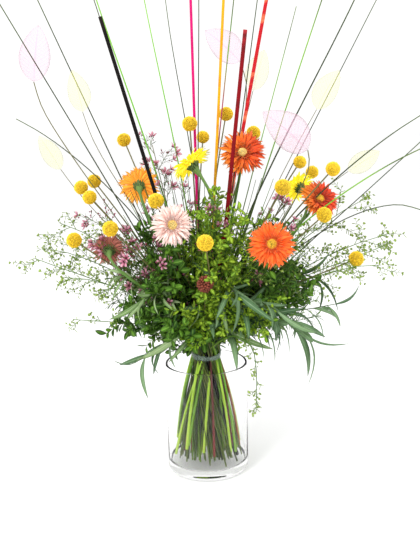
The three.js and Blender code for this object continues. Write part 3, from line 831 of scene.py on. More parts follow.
def gerbera(name, rays, centre, disc_radius, slot, seed):
    line = rings(f"gerbera_{name}_stem")
    head = line[-1][0]
    axis = (head - line[-3][0]).normalized()
    pose = upright(axis, head)
    reach = max(((v.co - head) - (v.co - head).dot(axis) * axis).length
                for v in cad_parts[f"gerbera_{name}_head"].data.vertices)
    stem = [(p, r, 0) for p, r in line[:-3]] + [(p, max(r, 0.0028), 0) for p, r in line[-3:-1]]
    parts = [tubes(f"gerbera_{name}_stem_looks", [stem], GERBERA_STEM, Sides=10)]
    for i, (count, rise, tilt, long) in enumerate(((18, -0.0105, 1.05, 0.0125), (20, -0.006, 0.85, 0.0125))):
        ring = grow("bracts", dot(), WHORL, Ray=BRACT, Count=count, Radius=0.0040 + 0.0014 * i, Rise=rise,
                    Tilt=tilt, Loose=0.1, Length=long, Width=0.9, Wave=0.0004, Seed=seed + i, Material=CALYX)
        ring.data.transform(pose)
        parts.append(ring)
    cup = grow("cup", dot(), FLORETS, Floret=FLORET, Count=60, Radius=0.0062, Cap=2.0, Flatten=1.1,
               Size=0.0028, Seed=seed, Material=CALYX)
    cup.data.transform(pose @ Matrix.Translation((0, 0, -0.004)))
    piece(parts + [cup], "gerbera_green", f"gerbera_{name}_stem")
    root = disc_radius * 0.75
    whorls = [(40, 0.0010, -0.05, 1.00, 0.76, 0.17), (38, 0.0024, 0.10, 1.00, 0.74, 0.19),
              (34, 0.0036, 0.26, 0.90, 0.74, 0.20)]
    made = []
    for i, (count, rise, tilt, part, wide, loose) in enumerate(whorls):
        made.append(grow(f"gerbera_{name}_head_looks", dot(), WHORL, Ray=RAY, Count=count, Radius=root,
                         Rise=rise, Tilt=tilt, Loose=loose, Length=(reach - root) * part, Width=wide,
                         Wave=0.010, Phase=0.37 * i, Seed=seed + 10 * i, Material=rays))
    for i, (count, radius, tilt, long) in enumerate(((32, 0.98, 0.62, 0.014), (28, 0.82, 0.95, 0.009))):
        made.append(grow("inner rays", dot(), WHORL, Ray=SHORT_RAY, Count=count, Radius=disc_radius * radius,
                         Rise=0.0045, Tilt=tilt, Loose=0.2, Length=long, Width=0.9, Wave=0.001, Phase=0.5 * i,
                         Seed=seed + 7 * i + 3, Material=rays))
    made.append(grow("disc", dot(), FLORETS, Floret=FLORET, Count=150, Radius=disc_radius, Cap=0.95,
                     Flatten=0.5, Size=0.0016, Seed=seed, Material=centre))
    made[-1].data.transform(Matrix.Translation((0, 0, 0.004)))
    for part in made:
        part.data.transform(pose)
    piece(made, slot, f"gerbera_{name}_head")
    return reach


for each in GERBERAS:
    print("gerbera", each[0], "reaches", round(gerbera(*each) * 1000, 1), "mm")

# %% [markdown]
# ## Craspedia
# A craspedia is a bare thin stem with a ball of tiny tubular florets. The ball is one closed run of the
# floret tree, with a plain core under it so that no light shows through.

# %% Craspedia
# The ball's florets run from a lighter top to a darker underside: painted light on top, painted shade below.
PAINTED_SHADE_BALL = disc("craspedia florets", "eac414", "f8dc38")
CORE = stalk("craspedia core", (0.0, "b8841c"), (1.0, "b8841c"))
CAD_BALLS = 18


def globe(name, radius, at, material):
    """A plain closed ball."""
    shape = bmesh.new()
    bmesh.ops.create_icosphere(shape, subdivisions=2, radius=radius, matrix=Matrix.Translation(at))
    mesh = bpy.data.meshes.new(name)
    shape.to_mesh(mesh)
    shape.free()
    return put(name, mesh, material)


def craspedia(number):
    name = f"craspedia_{number}"
    line = rings(name)
    low, high = line[-6][0], line[-1][0]
    middle, axis = (low + high) / 2, (high - low).normalized()
    radius = max(r for _, r in line[-6:])
    stem = [(p, r, 0) for p, r in line[:-6]] + [(middle - axis * radius * 0.8, 0.0013, 0)]
    tube = tubes(f"{name}_looks", [stem], BROWN_STEM, Sides=8)
    ball = grow("ball", dot(), FLORETS, Floret=FLORET, Count=460, Radius=radius * 0.94, Size=0.0020,
                Flatten=0.97, Seed=number, Material=PAINTED_SHADE_BALL)
    ball.data.transform(upright(axis, middle))
    piece([tube, globe("core", radius * 0.93, middle, CORE), ball], "craspedia_yellow", name)
    return radius


sizes = [craspedia(i) for i in range(1, CAD_BALLS + 1)]
print(len(sizes), "craspedia,", round(min(sizes) * 2000, 1), "to", round(max(sizes) * 2000, 1), "mm across")

# %% [markdown]
# ## Sticks and steel grass
# The sticks are straight dyed rods with a dry, slightly uneven skin. Steel grass is a thin, slightly
# flattened blade, dark green, sometimes dipped in lime or pink for part of its length.

# %% Sticks and steel grass
def dyed(name, foot, body, tip, worn=None):
    """Dye that takes unevenly: worn patches of a second colour run along the stick."""
    material, g, skin = start(name, 0.7, Specular_IOR_Level=0.12)
    colour = ramp(g, read(g, "along"), (0.0, foot), (0.3, body), (0.96, body), (1.0, tip))
    grain = noise(g, space(g, 1.0, 1.0, 0.05), 900.0, 3.0)
    colour = mix(g, times(g, grain, 0.8), colour, "b0a4a4", "MULTIPLY")
    patch = ramp(g, noise(g, space(g, 0.4, 0.4, 1.0), 38.0, 3.0), (0.52, "000000"), (0.64, "ffffff"))
    colour = mix(g, times(g, patch, 0.75), colour, worn or body)
    finish(g, skin, colour, grain, 0.0005)
    return material


STICKS = {
    "stick_black": dyed("black dye", "0c0a08", "100e0c", "241c18"),
    "stick_magenta": dyed("magenta dye", "7a0c44", "e01478", "e84a92", "b80c5c"),
    "stick_amber": dyed("amber dye", "8a5010", "f4b41c", "f8cc54", "c88418"),
    "stick_dark_red": dyed("dark red dye", "4a0c10", "8c0c18", "b8343c", "5c1416"),
    "stick_red": dyed("red dye", "6a1410", "d0202a", "dc4a40", "f09060"),
}
for name, material in STICKS.items():
    line = [(p, r, 0) for p, r in rings(name)]
    piece(tubes(f"{name}_looks", [line], material, Sides=12, Steps=40), name, name)

LIME_GRASS = stalk("lime grass", (0.0, "55682c"), (0.55, "4c6428"), (0.68, "7fc41c"), (0.86, "8fce24"),
                   (0.93, "58742e"), (1.0, "7a9444"), rough=0.4)
LIME_BLADE = stalk("lime blade", (0.0, "5c7a26"), (0.5, "6ca424"), (0.7, "84dc28"), (1.0, "a4e454"))
PINK_GRASS = stalk("pink grass", (0.0, "55682c"), (0.6, "4c6428"), (0.72, "c81c64"), (0.84, "7fc41c"),
                   (0.92, "58742e"), (1.0, "7a9444"), rough=0.4)
CAD_BLADES = 7


def grass_blade(name, line, material, node):
    """One blade of steel grass along a line."""
    piece(tubes(name, [line], material, Sides=6, Steps=40, Flatten=0.7), "steel_grass", node)


for number in range(1, CAD_BLADES + 1):
    name = f"steel_grass_{number}"
    found = rings(name)
    line = [(p, 0.0021 - 0.0010 * i / len(found), 0) for i, (p, _) in enumerate(found)]
    material = {4: PINK_GRASS, 5: LIME_GRASS}.get(number, GRASS)
    grass_blade(f"{name}_looks", line, material, name)

# More blades: where each crosses the tie, its tip, which way it arrives, and its finish.
MORE_GRASS = [
    ((-0.020, 0.002), (-0.190, 0.020, 0.912), None, LIME_BLADE),
    ((-0.012, 0.008), (-0.103, 0.060, 0.912), None, LIME_BLADE),
    ((0.004, -0.012), (0.003, -0.040, 0.905), None, GRASS),
    ((0.010, 0.012), (0.113, 0.040, 0.912), None, GRASS),
    ((0.014, -0.004), (0.290, -0.030, 0.902), None, GRASS),
    ((0.018, 0.004), (0.392, 0.030, 0.643), (0.8, 0, 0.45), GRASS),
    ((0.016, -0.010), (0.376, -0.040, 0.589), (0.85, 0, 0.35), LIME_GRASS),
    ((0.019, 0.009), (0.398, 0.040, 0.471), (0.9, 0, -0.5), GRASS),
    ((-0.016, 0.012), (-0.330, 0.050, 0.650), (-0.8, 0, 0.4), GRASS),
    ((-0.004, 0.018), (-0.060, 0.120, 0.860), None, GRASS),
    ((0.006, 0.019), (0.180, 0.130, 0.840), None, LIME_GRASS),
]
for number, (at, tip, arrive, material) in enumerate(MORE_GRASS):
    line = taper(route(at, tip, arrive=arrive), 0.0019, 0.0010)
    grass_blade(f"more_grass_{number + 1}", line, material, "steel_grass_1")
print(len(STICKS), "sticks and", CAD_BLADES + len(MORE_GRASS), "blades")

# %% [markdown]
# ## Skeleton leaves
# A skeleton leaf is a real leaf with its flesh soaked away, dyed and dried. What is left is a lace of
# veins that light passes through. The blade is a thin closed solid, and the material draws the midrib,
# the side veins and the fine net, and lets the rest be mostly clear.

# %% Skeleton leaves
def lace(name, flesh, vein, cover):
    material, g, skin = start(name, 0.6, Specular_IOR_Level=0.2)
    along, across = read(g, "along"), read(g, "across")
    wide = maths(g, "ABSOLUTE", across)
    rib = maths(g, "GREATER_THAN", 0.05, wide)
    slant = maths(g, "SUBTRACT", times(g, along, 15.0), times(g, wide, 3.0))
    side = maths(g, "GREATER_THAN", 0.10, maths(g, "FRACT", slant))
    rim = maths(g, "GREATER_THAN", wide, 0.95)
    where = vector(g, times(g, along, 2.0), across)
    cell = add(g, "ShaderNodeTexVoronoi", {"Vector": where, "Scale": 26.0}, feature="DISTANCE_TO_EDGE",
               voronoi_dimensions="3D")
    net = maths(g, "GREATER_THAN", 0.07, out(cell, "Distance"))
    strong = maths(g, "MAXIMUM", maths(g, "MAXIMUM", rib, side), rim)
    ribs, threads = times(g, strong, cover + 0.12), times(g, net, cover + 0.06)
    seen = maths(g, "MAXIMUM", maths(g, "MAXIMUM", ribs, threads), cover)
    finish(g, skin, mix(g, strong, flesh, vein))
    thin = out(add(g, "ShaderNodeBsdfTranslucent", {"Color": paint(flesh)}))
    body = out(add(g, "ShaderNodeMixShader", (0.5, skin.outputs[0], thin)))
    surface(g, seen, out(add(g, "ShaderNodeBsdfTransparent")), body)
    return material


PINK_LACE = lace("pink lace", "ecccde", "e2b2cc", 0.25)
CREAM_LACE = lace("cream lace", "ecec9c", "dcdc88", 0.16)


def set_blade(name, mesh, base, axis, looks, length, material):
    """Lays a blade of length 1 along an axis, facing a way, at its real length."""
    x = Vector(axis).normalized()
    z = (Vector(looks) - Vector(looks).dot(x) * x).normalized()
    turn = Matrix((x, z.cross(x), z)).transposed().to_4x4()
    mesh.transform(Matrix.Translation(base) @ turn @ Matrix.Scale(length, 4))
    return put(name, mesh, material)


def skeleton_leaf(name, line, base, axis, looks, length, width, material, node):
    """A stem with a lace blade on it."""
    half = width / length / 2
    sheet = blade("lace", 8, 14, lambda t: max(0.004, half * math.sin(math.pi * min(1, t ** 0.8)) ** 0.75),
                  lambda t: 0.10 * math.sin(3.1 * t), 0.25, 0.003)
    tube = tubes(name, [line], BROWN_STEM, Sides=6, Steps=40)
    return piece([tube, set_blade("lace", sheet, base, axis, looks, length, material)], "skeleton_leaf", node)


LACE_LEAVES = [
    ((-0.288, 0.020, 0.713), (0.15, 0, 1), (0.1, -0.95, 0.2), 0.096, 0.054),
    ((0.075, 0.120, 0.743), (-0.74, 0, 0.67), (0, -0.9, 0.3), 0.086, 0.056),
    ((0.180, -0.050, 0.590), (-0.76, 0, 0.65), (0, -0.9, 0.3), 0.100, 0.062),
]
for number, leaf_facts in enumerate(LACE_LEAVES, 1):
    name = f"skeleton_leaf_{number}"
    line = [(p, 0.0009, 0) for p, _ in rings(name)[:-7]]
    skeleton_leaf(f"{name}_looks", line, *leaf_facts, PINK_LACE, name)

# Faint cream ones: slot at the tie, base, axis, the way it faces, length and width.
CREAM_LEAVES = [
    ((-0.018, -0.006), (-0.252, 0.030, 0.560), (-0.5, 0, 0.85), (0.2, -0.95, 0.2), 0.070, 0.034),
    ((-0.014, 0.015), (-0.206, 0.020, 0.660), (-0.2, 0, 1), (0.3, -0.9, 0.1), 0.074, 0.040),
    ((0.005, 0.016), (0.095, 0.060, 0.690), (0.3, 0, 1), (-0.2, -0.95, 0.1), 0.074, 0.042),
    ((0.015, 0.014), (0.205, 0.030, 0.655), (0.5, 0, 0.85), (-0.3, -0.9, 0.2), 0.078, 0.044),
    ((0.021, 0.002), (0.262, 0.030, 0.545), (0.8, 0, 0.5), (0.1, -0.9, 0.3), 0.066, 0.036),
]
for number, (at, base, *rest) in enumerate(CREAM_LEAVES, 1):
    line = taper(route(at, base, arrive=rest[0]), 0.0009, 0.0006)
    skeleton_leaf(f"cream_leaf_{number}", line, base, *rest, CREAM_LACE, "skeleton_leaf_1")
print("skeleton leaves:", len(LACE_LEAVES), "pink and", len(CREAM_LEAVES), "cream")

# %% [markdown]
# ## Sprays of greenery
# A spray is one main stem with side twigs that leave it by turns. The CAD stem gives the first part of
# the line, and the tip is repeated here. What grows on the twigs sets the plants apart: round pods for
# pennycress, long hanging leaves for eucalyptus, small yellow-green leaves for bupleurum.

# %% Spray tools
def along_line(line, part):
    """The point and the direction at a part of a line's length."""
    steps = [(b - a).length for a, b in zip(line, line[1:])]
    left = part * sum(steps)
    for a, b, step in zip(line, line[1:], steps):
        if left <= step or b is line[-1]:
            return a.lerp(b, min(1.0, left / step)), (b - a).normalized()
        left -= step


def onward(points, tip, steps=6):
    """Carries a line on from its end to a tip in an easy curve."""
    tip, last = Vector(tip), points[-1]
    way, reach = (last - points[-2]).normalized(), (tip - last).length
    into = (tip - last).normalized()
    line = list(points)
    for i in range(1, steps + 1):
        t = i / steps
        line.append((2 * t ** 3 - 3 * t ** 2 + 1) * last + (t ** 3 - 2 * t ** 2 + t) * reach * 0.7 * way
                    + (3 * t ** 2 - 2 * t ** 3) * tip + (t ** 3 - t ** 2) * reach * 0.7 * into)
    return line


def twigs(line, count, start_at, length, lean, fall, seed, thick=0.0006):
    """Side twigs that leave a line by turns round it."""
    luck = random.Random(seed)
    made = []
    for i in range(count):
        root, way = along_line(line, start_at + (1 - start_at) * (i + luck.random() * 0.6) / count)
        across = way.orthogonal().normalized()
        across.rotate(Matrix.Rotation(GOLDEN * i + luck.uniform(-0.4, 0.4), 3, way))
        heading = way * math.cos(lean) + across * math.sin(lean)
        reach = length * luck.uniform(0.7, 1.1) * (1 - 0.3 * i / count)
        bend = across * luck.uniform(-0.12, 0.2) + Vector((0, 0, -fall))
        made.append([(root + (heading * s + bend * s * s) * reach, thick * (1.1 - 0.6 * s), 1.0 if s else 0.0)
                     for s in (0, 0.25, 0.5, 0.75, 1)])
    return made


def sprig(name, lines, shape, leaf_finish, stem_finish, seed, **growth):
    """Twigs with their leaves, as two meshes."""
    base = strands("line", lines)
    return [grow(name, base, STEM, Material=stem_finish, Sides=5, Steps=14),
            grow("leaves", base, SPRIG, Leaf=shape, Material=leaf_finish, Seed=seed, **growth)]


PENNY = leaf("pennycress pods", "7c9c38", "b0cc5c", "c8dc8c", edge="bcd47c")
EUCA = leaf("eucalyptus leaves", "4c7048", "7c9c70", "a0b694", rough=0.45)
WILLOW = leaf("willow leaves", "7c9c60", "a8c08c", "c4d4ac")
BUPL = leaf("bupleurum leaves", "6c9c18", "b8dc34", "d0ec70")
BUSH = leaf("small green leaves", "2e5a14", "70a42c", "94c050")
UMBEL = leaf("umbel florets", "a0d824", "c8f044", "d8f468")
print("spray tools ready")

# %% [markdown]
# ## Pennycress
# Pennycress carries flat round pods on side twigs as fine as thread.

# %% Pennycress
def pennycress(name, line, count, length, seed, node, start_at=0.5, spacing=0.0036):
    own = twigs(line, count, start_at, length, 0.75, 0.12, seed)
    small = []
    for i, twig in enumerate(own):
        small += twigs([p for p, _, _ in twig], 2, 0.25, length * 0.4, 0.7, 0.05, seed + i, 0.0004)
    main = taper(line, 0.0016, 0.0006, 0.93)
    parts = sprig(name, [main] + own + small, POD, PENNY, GREEN_STEM, seed, Spacing=spacing, Lean=1.0,
                  Size=0.0088, Spread=0.3)
    return piece(parts, "pennycress_green", node)


PENNY_TIPS = {"pennycress_left": (-0.300, -0.015, 0.408), "pennycress_right": (0.322, 0.005, 0.412),
              "pennycress_low_left": (-0.226, -0.080, 0.312)}
for seed, (name, tip) in enumerate(PENNY_TIPS.items()):
    line = onward([p for p, _ in rings(name)], tip)
    low = name == "pennycress_low_left"
    pennycress(f"{name}_looks", line, 6 if low else 11, 0.03 if low else 0.062, seed + 5, name, 0.6)

# More branches: slot at the tie, tip, side twigs and their length.
MORE_PENNY = [
    ((-0.020, 0.004), (-0.262, 0.040, 0.462), 11, 0.070, (-0.9, 0, 0.3)),
    ((-0.021, -0.003), (-0.285, 0.012, 0.420), 10, 0.060, (-0.95, 0, 0.1)),
    ((-0.019, -0.010), (-0.240, -0.060, 0.382), 9, 0.055, (-0.95, -0.1, 0.0)),
    ((0.021, 0.004), (0.330, 0.020, 0.430), 11, 0.066, (0.95, 0, 0.2)),
    ((0.022, -0.004), (0.312, -0.030, 0.385), 10, 0.060, (0.95, 0, -0.1)),
    ((0.019, 0.011), (0.300, 0.060, 0.492), 11, 0.070, (0.9, 0.1, 0.4)),
    ((0.012, 0.018), (0.215, 0.125, 0.430), 10, 0.065, (0.8, 0.5, 0.2)),
    ((-0.012, 0.018), (-0.200, 0.115, 0.420), 10, 0.065, (-0.8, 0.5, 0.2)),
    ((0.002, 0.021), (0.030, 0.140, 0.440), 9, 0.055, (0.1, 0.8, 0.4)),
    ((-0.004, -0.019), (0.120, -0.120, 0.430), 9, 0.055, (0.6, -0.5, 0.4)),
]
for number, (at, tip, count, length, arrive) in enumerate(MORE_PENNY):
    pennycress(f"more_pennycress_{number + 1}", route(at, tip, arrive=arrive), count, length, 40 + number,
               "pennycress_left", 0.55)
strand = [Vector(p) for p in ((0.010, -0.030, 0.240), (0.045, -0.075, 0.275), (0.078, -0.092, 0.262),
                              (0.087, -0.094, 0.215), (0.086, -0.090, 0.140))]
pennycress("pennycress_trailing", strand, 12, 0.014, 77, "pennycress_right", 0.35, 0.0030)
print("pennycress:", len(PENNY_TIPS) + len(MORE_PENNY) + 1, "branches")

# %% [markdown]
# ## Eucalyptus and willow
# Long narrow leaves hang from arching stems, low on both sides.

# %% Eucalyptus and willow
def eucalyptus(name, line, seed, node, size=0.058, spacing=0.013, foliage=EUCA):
    """A branch with long leaves that hang a little."""
    main = taper(line, 0.0018, 0.0007, 0.42)
    parts = sprig(name, [main], LONG_LEAF, foliage, DARK_STEM, seed, Spacing=spacing, Lean=0.75,
                  Size=size, Spread=0.3, Fall=0.55)
    return piece(parts, "eucalyptus_green", node)


EUCA_TIPS = {"eucalyptus_right": (0.222, -0.084, 0.330), "eucalyptus_left": (-0.114, -0.090, 0.240)}
for seed, (name, tip) in enumerate(EUCA_TIPS.items()):
    eucalyptus(f"{name}_looks", onward([p for p, _ in rings(name)], tip), seed + 3, name)
# More branches: slot at the tie, tip, how it arrives, leaf length, spacing and kind of leaf.
MORE_EUCA = [
    ((0.014, -0.016), (0.170, -0.100, 0.285), (0.8, -0.1, -0.6), 0.075, 0.012, EUCA),
    ((0.017, -0.012), (0.120, -0.115, 0.330), (0.7, -0.3, -0.5), 0.070, 0.012, EUCA),
    ((0.008, -0.019), (0.055, -0.115, 0.360), (0.2, -0.6, -0.3), 0.062, 0.009, EUCA),
    ((0.018, 0.006), (0.205, 0.030, 0.350), (0.9, 0, -0.4), 0.070, 0.012, EUCA),
    ((-0.012, -0.017), (-0.105, -0.105, 0.350), (-0.7, -0.4, -0.3), 0.052, 0.008, WILLOW),
    ((-0.017, -0.009), (-0.150, -0.070, 0.385), (-0.8, -0.2, 0.2), 0.050, 0.008, WILLOW),
    ((-0.019, 0.008), (-0.135, 0.060, 0.300), (-0.8, 0.2, -0.5), 0.062, 0.012, EUCA),
    ((-0.006, 0.020), (-0.050, 0.120, 0.320), (-0.2, 0.7, -0.5), 0.062, 0.011, EUCA),
    ((0.009, 0.018), (0.100, 0.115, 0.330), (0.5, 0.6, -0.4), 0.066, 0.011, EUCA),
]
for number, (at, tip, arrive, size, spacing, foliage) in enumerate(MORE_EUCA):
    eucalyptus(f"more_eucalyptus_{number + 1}", route(at, tip, arrive=arrive, sag=-0.012), 60 + number,
               "eucalyptus_right" if tip[0] > 0 else "eucalyptus_left", size, spacing, foliage)
print("eucalyptus and willow:", len(EUCA_TIPS) + len(MORE_EUCA), "branches")

# %% [markdown]
# ## The leafy middle
# Between the flowers the bunch is full of small leaves: yellow-green bupleurum at the front and darker
# leaves behind and below. The tips of these fillers are spread over the inside of a dome by a fixed
# draw of chance, so the bunch is as full behind as in front.

# %% Bupleurum and filler
def bushy(name, line, count, length, foliage, seed, size, start_at, shape=ROUND_LEAF):
    """A leafy spray. All of them stand for the bupleurum node."""
    own = twigs(line, count, start_at, length, 0.85, 0.05, seed, 0.0006)
    main = taper(line, 0.0014, 0.0006, 0.6)
    parts = sprig(name, [main] + own, shape, foliage, GREEN_STEM, seed, Spacing=0.0036, Lean=0.9,
                  Size=size, Spread=0.35)
    return piece(parts, "bupleurum_green", "bupleurum")


line = onward([p for p, _ in rings("bupleurum")], (0.050, -0.112, 0.505))
bushy("bupleurum_looks", line, 16, 0.042, BUPL, 8, 0.0105, 0.55)
FRONT = [((0.002, -0.018), (0.005, -0.105, 0.500)), ((0.006, -0.020), (0.030, -0.120, 0.450)),
         ((0.010, -0.019), (0.060, -0.118, 0.410)), ((0.004, -0.021), (0.018, -0.122, 0.395)),
         ((0.008, -0.014), (0.072, -0.090, 0.490)), ((0.003, -0.012), (0.028, -0.080, 0.530))]
for number, (at, tip) in enumerate(FRONT):
    bushy(f"bupleurum_front_{number + 1}", route(at, tip, 7), 13, 0.036, BUPL, 90 + number, 0.0105, 0.55)
FILLER_SPRIGS, SLIM_STEMS, LEAST_APART = 72, 64, 0.031
DOME_MIDDLE, DOME_REACH = (0.015, -0.01, 0.275), (0.19, 0.125, 0.245)
luck = random.Random(2024)
fillers = []
while len(fillers) < FILLER_SPRIGS:
    azimuth, height = luck.uniform(0, 2 * math.pi), luck.uniform(0.05, 1.0)
    spread = math.sqrt(1 - height ** 2)
    way = (spread * math.cos(azimuth), spread * math.sin(azimuth), height * luck.uniform(0.72, 1.0))
    tip = Vector([middle + reach * part for middle, reach, part in zip(DOME_MIDDLE, DOME_REACH, way)])
    if all((tip - other).length > LEAST_APART for other in fillers):
        fillers.append(tip)
for number, tip in enumerate(fillers):
    yellow = tip.y < 0.0 and -0.05 < tip.x < 0.13 and tip.z > 0.30 or number % 7 == 0
    turn = math.atan2(tip.y, tip.x)
    at = (0.021 * math.cos(turn) * luck.uniform(0.3, 1), 0.021 * math.sin(turn) * luck.uniform(0.3, 1))
    foliage, size = (BUPL, 0.0105) if yellow else (BUSH, 0.016)
    bushy(f"filler_{number + 1}", route(at, tip, 7), 11, 0.040, foliage, 100 + number, size, 0.57,
          ROUND_LEAF if number % 3 else FINE_LEAF)
slim = {DARK_STEM.name: [], GREEN_STEM.name: []}
for i in range(SLIM_STEMS):
    turn, lift = GOLDEN * i, luck.uniform(0.25, 1.0)
    far = math.sqrt(1 - (0.8 * lift) ** 2)
    tip = (0.01 + 0.19 * far * math.cos(turn), -0.015 + 0.115 * far * math.sin(turn), 0.36 + 0.19 * lift)
    at = (0.020 * math.cos(turn) * luck.uniform(0.3, 1), 0.020 * math.sin(turn) * luck.uniform(0.3, 1))
    kind = DARK_STEM if i % 3 else GREEN_STEM
    slim[kind.name].append(taper(route(at, tip, 6), 0.0016, 0.0005)[2:])
for kind in (DARK_STEM, GREEN_STEM):
    made = tubes(kind.name.replace(" ", "_") + "_slim", slim[kind.name], kind, Sides=5, Steps=18)
    piece(made, "bupleurum_green", "bupleurum")
print(len(fillers), "filler sprigs and", SLIM_STEMS, "slim stems")

# %% [markdown]
# ## Umbels, cone and single leaves
# Small things close the gaps: flat umbels, one rust cone and loose leaves.

# %% Umbels, cone and single leaves
def umbel(name, centre, up, radius, seed, rays=34):
    """Rays from one point, each with a floret on its end."""
    luck = random.Random(seed)
    up = Vector(up).normalized()
    base, ends = Vector(centre), []
    lines = []
    for i in range(rays):
        z = 1 - 0.85 * (i + 0.5) / rays
        way = upright(up, (0, 0, 0)) @ Vector((math.sqrt(1 - z * z) * math.cos(GOLDEN * i),
                                               math.sqrt(1 - z * z) * math.sin(GOLDEN * i), z))
        end = base + way * radius * luck.uniform(0.85, 1.05)
        lines.append([(base, 0.0004, 0), (base.lerp(end, 0.5) - up * 0.0008, 0.0003, 0), (end, 0.0003, 0)])
        ends += [(end + Vector([luck.uniform(-1, 1) * 0.0016 for _ in range(3)]), way, 0.0028)
                 for _ in range(4)]
    return [tubes(name, lines, GREEN_STEM, Sides=4, Steps=5),
            grow("florets", spots("ends", ends), POSY, Item=BUD, Material=UMBEL, Seed=seed)]


UMBELS = [((-0.004, -0.055, 0.285), (-0.2, -1, 0.5), 0.017), ((0.045, -0.075, 0.315), (0.4, -1, 0.5), 0.018),
          ((-0.018, -0.062, 0.262), (-0.4, -1, 0.3), 0.014), ((0.075, -0.080, 0.420), (0.5, -1, 0.5), 0.015),
          ((-0.030, 0.070, 0.300), (-0.3, 1, 0.5), 0.016), ((0.050, 0.075, 0.340), (0.3, 1, 0.6), 0.016)]
made = []
for number, (centre, up, radius) in enumerate(UMBELS):
    made += umbel("umbels", centre, up, radius, 300 + number)
    half_way = Vector(centre) * 0.6 + Vector((0, 0, 0.10))
    stem = [(through((0.010, -0.012), 0.225), 0.0012, 0), (half_way, 0.0010, 0), (Vector(centre), 0.0008, 0)]
    made.append(tubes("stalk", [stem], GREEN_STEM, Sides=6, Steps=10))
piece(made, "bupleurum_green", "bupleurum")

CONE = disc("brown cone", "6a2e1c", "843c28")
cone = grow("cone", dot(), FLORETS, Floret=FLORET, Count=110, Radius=0.0105, Flatten=1.3, Size=0.0042, Seed=9,
            Material=CONE)
cone.data.transform(upright(Vector((0.1, -0.8, 0.6)), (0.002, -0.118, 0.378)))
stem = taper(route((0.002, -0.016), (0.002, -0.112, 0.368)), 0.0014, 0.0010)
piece([tubes("cone_and_stem", [stem], BROWN_STEM), cone], "eucalyptus_green", "eucalyptus_left")

# Leaves that stand alone round the collar: where each starts, the way it heads and its length.
SINGLE = [
    ((-0.030, -0.060, 0.300), (-0.65, -0.35, -0.55), 0.105),
    ((-0.035, -0.050, 0.310), (-0.9, -0.2, 0.1), 0.10),
    ((-0.020, -0.045, 0.270), (-0.5, -0.5, -0.4), 0.070),
    ((0.035, -0.050, 0.285), (0.75, -0.4, -0.35), 0.085),
    ((0.045, -0.050, 0.300), (0.9, -0.2, 0.0), 0.095), ((0.060, -0.060, 0.330), (0.8, -0.3, -0.4), 0.100),
    ((0.020, -0.060, 0.340), (0.3, -0.6, -0.7), 0.075), ((-0.010, -0.060, 0.330), (-0.2, -0.6, -0.7), 0.060),
    ((0.030, 0.055, 0.290), (0.4, 0.8, -0.3), 0.085), ((-0.030, 0.055, 0.300), (-0.5, 0.7, -0.3), 0.085),
    ((0.050, 0.010, 0.290), (0.9, 0.2, -0.4), 0.090), ((-0.045, 0.015, 0.290), (-0.9, 0.2, -0.3), 0.085),
]
places = [(base, Vector(way).normalized(), size) for base, way, size in SINGLE]
piece(grow("single_leaves", spots("leaf places", places), POSY, Item=LONG_LEAF, Material=WILLOW, Seed=4),
      "eucalyptus_green", "eucalyptus_right")
print(len(UMBELS), "umbels, a cone and", len(SINGLE), "single leaves")

# %% [markdown]
# ## Waxflower
# Waxflower carries clusters of small five-petalled flowers and dark round buds on woody twigs with
# needle leaves.

# %% Waxflower
def small_flower(name, middle, body, edge):
    material, g, skin = start(name, 0.5, Specular_IOR_Level=0.35)
    colour = ramp(g, read(g, "along"), (0.0, middle), (0.35, body), (1.0, edge))
    finish(g, skin, vary(g, colour, read(g, "tint"), 0.35), noise(g, space(g), 900.0), 0.0002, 0.25)
    return material


WAX_PINK = small_flower("waxflower petals", "8c2c4c", "d884a0", "f2c4d0")
WAX_BUD = small_flower("waxflower buds", "5c2030", "8c3450", "c07088")


IN_FLOWER, BUD_SIZE = 0.62, 0.0026


def waxflower(name, line, count, length, seed, node, size=0.009):
    """A twiggy spray, most of its ends in flower and the rest in bud."""
    luck = random.Random(seed)
    own = twigs(line, count, 0.5, length, 0.7, -0.05, seed, 0.0006)
    small = []
    for i, twig in enumerate(own):
        small += twigs([p for p, _, _ in twig], 4, 0.35, length * 0.4, 0.7, -0.05, seed + i, 0.0004)
    flowers, buds = [], []
    for twig in own + small:
        way = (twig[-1][0] - twig[-2][0]).normalized()
        (flowers if luck.random() < IN_FLOWER else buds).append((twig[-1][0], way, size))
        for _ in range(2):
            off = Vector([luck.uniform(-1, 1) for _ in range(3)]) * 0.004
            buds.append((twig[-2][0].lerp(twig[-1][0], luck.random()) + off, way + off * 100, BUD_SIZE))
    buds = [(p, w, min(s, 0.0030)) for p, w, s in buds]
    parts = sprig(name, [taper(line, 0.0014, 0.0007)] + own + small, FINE_LEAF, BUSH, BROWN_STEM, seed,
                  Spacing=0.004, Lean=0.7, Size=0.010)
    parts.append(grow("flowers", spots("ends", flowers), POSY, Item=FLOWER, Material=WAX_PINK, Seed=seed))
    parts.append(grow("buds", spots("ends", buds), POSY, Item=BUD, Material=WAX_BUD, Seed=seed + 1))
    return piece(parts, "waxflower_pink", node)


WAX_TIPS = {"waxflower_left": (-0.184, -0.018, 0.472), "waxflower_upper": (-0.089, 0.060, 0.598)}
for seed, (name, tip) in enumerate(WAX_TIPS.items()):
    waxflower(f"{name}_looks", onward([p for p, _ in rings(name)], tip), 12, 0.060, seed + 21, name)
MORE_WAX = [
    ((0.002, -0.010), (0.024, -0.072, 0.500), 7, 0.035),
    ((-0.010, -0.014), (-0.101, -0.070, 0.432), 10, 0.050),
    ((-0.015, -0.004), (-0.160, -0.050, 0.440), 10, 0.050),
    ((-0.004, 0.016), (-0.040, 0.115, 0.500), 8, 0.045),
    ((0.013, 0.012), (0.150, 0.110, 0.480), 8, 0.045), ((0.012, -0.002), (0.150, -0.060, 0.500), 7, 0.040),
]
for number, (at, tip, count, length) in enumerate(MORE_WAX):
    waxflower(f"more_waxflower_{number + 1}", route(at, tip), count, length, 80 + number, "waxflower_left")
print("waxflower:", len(WAX_TIPS) + len(MORE_WAX), "sprays")

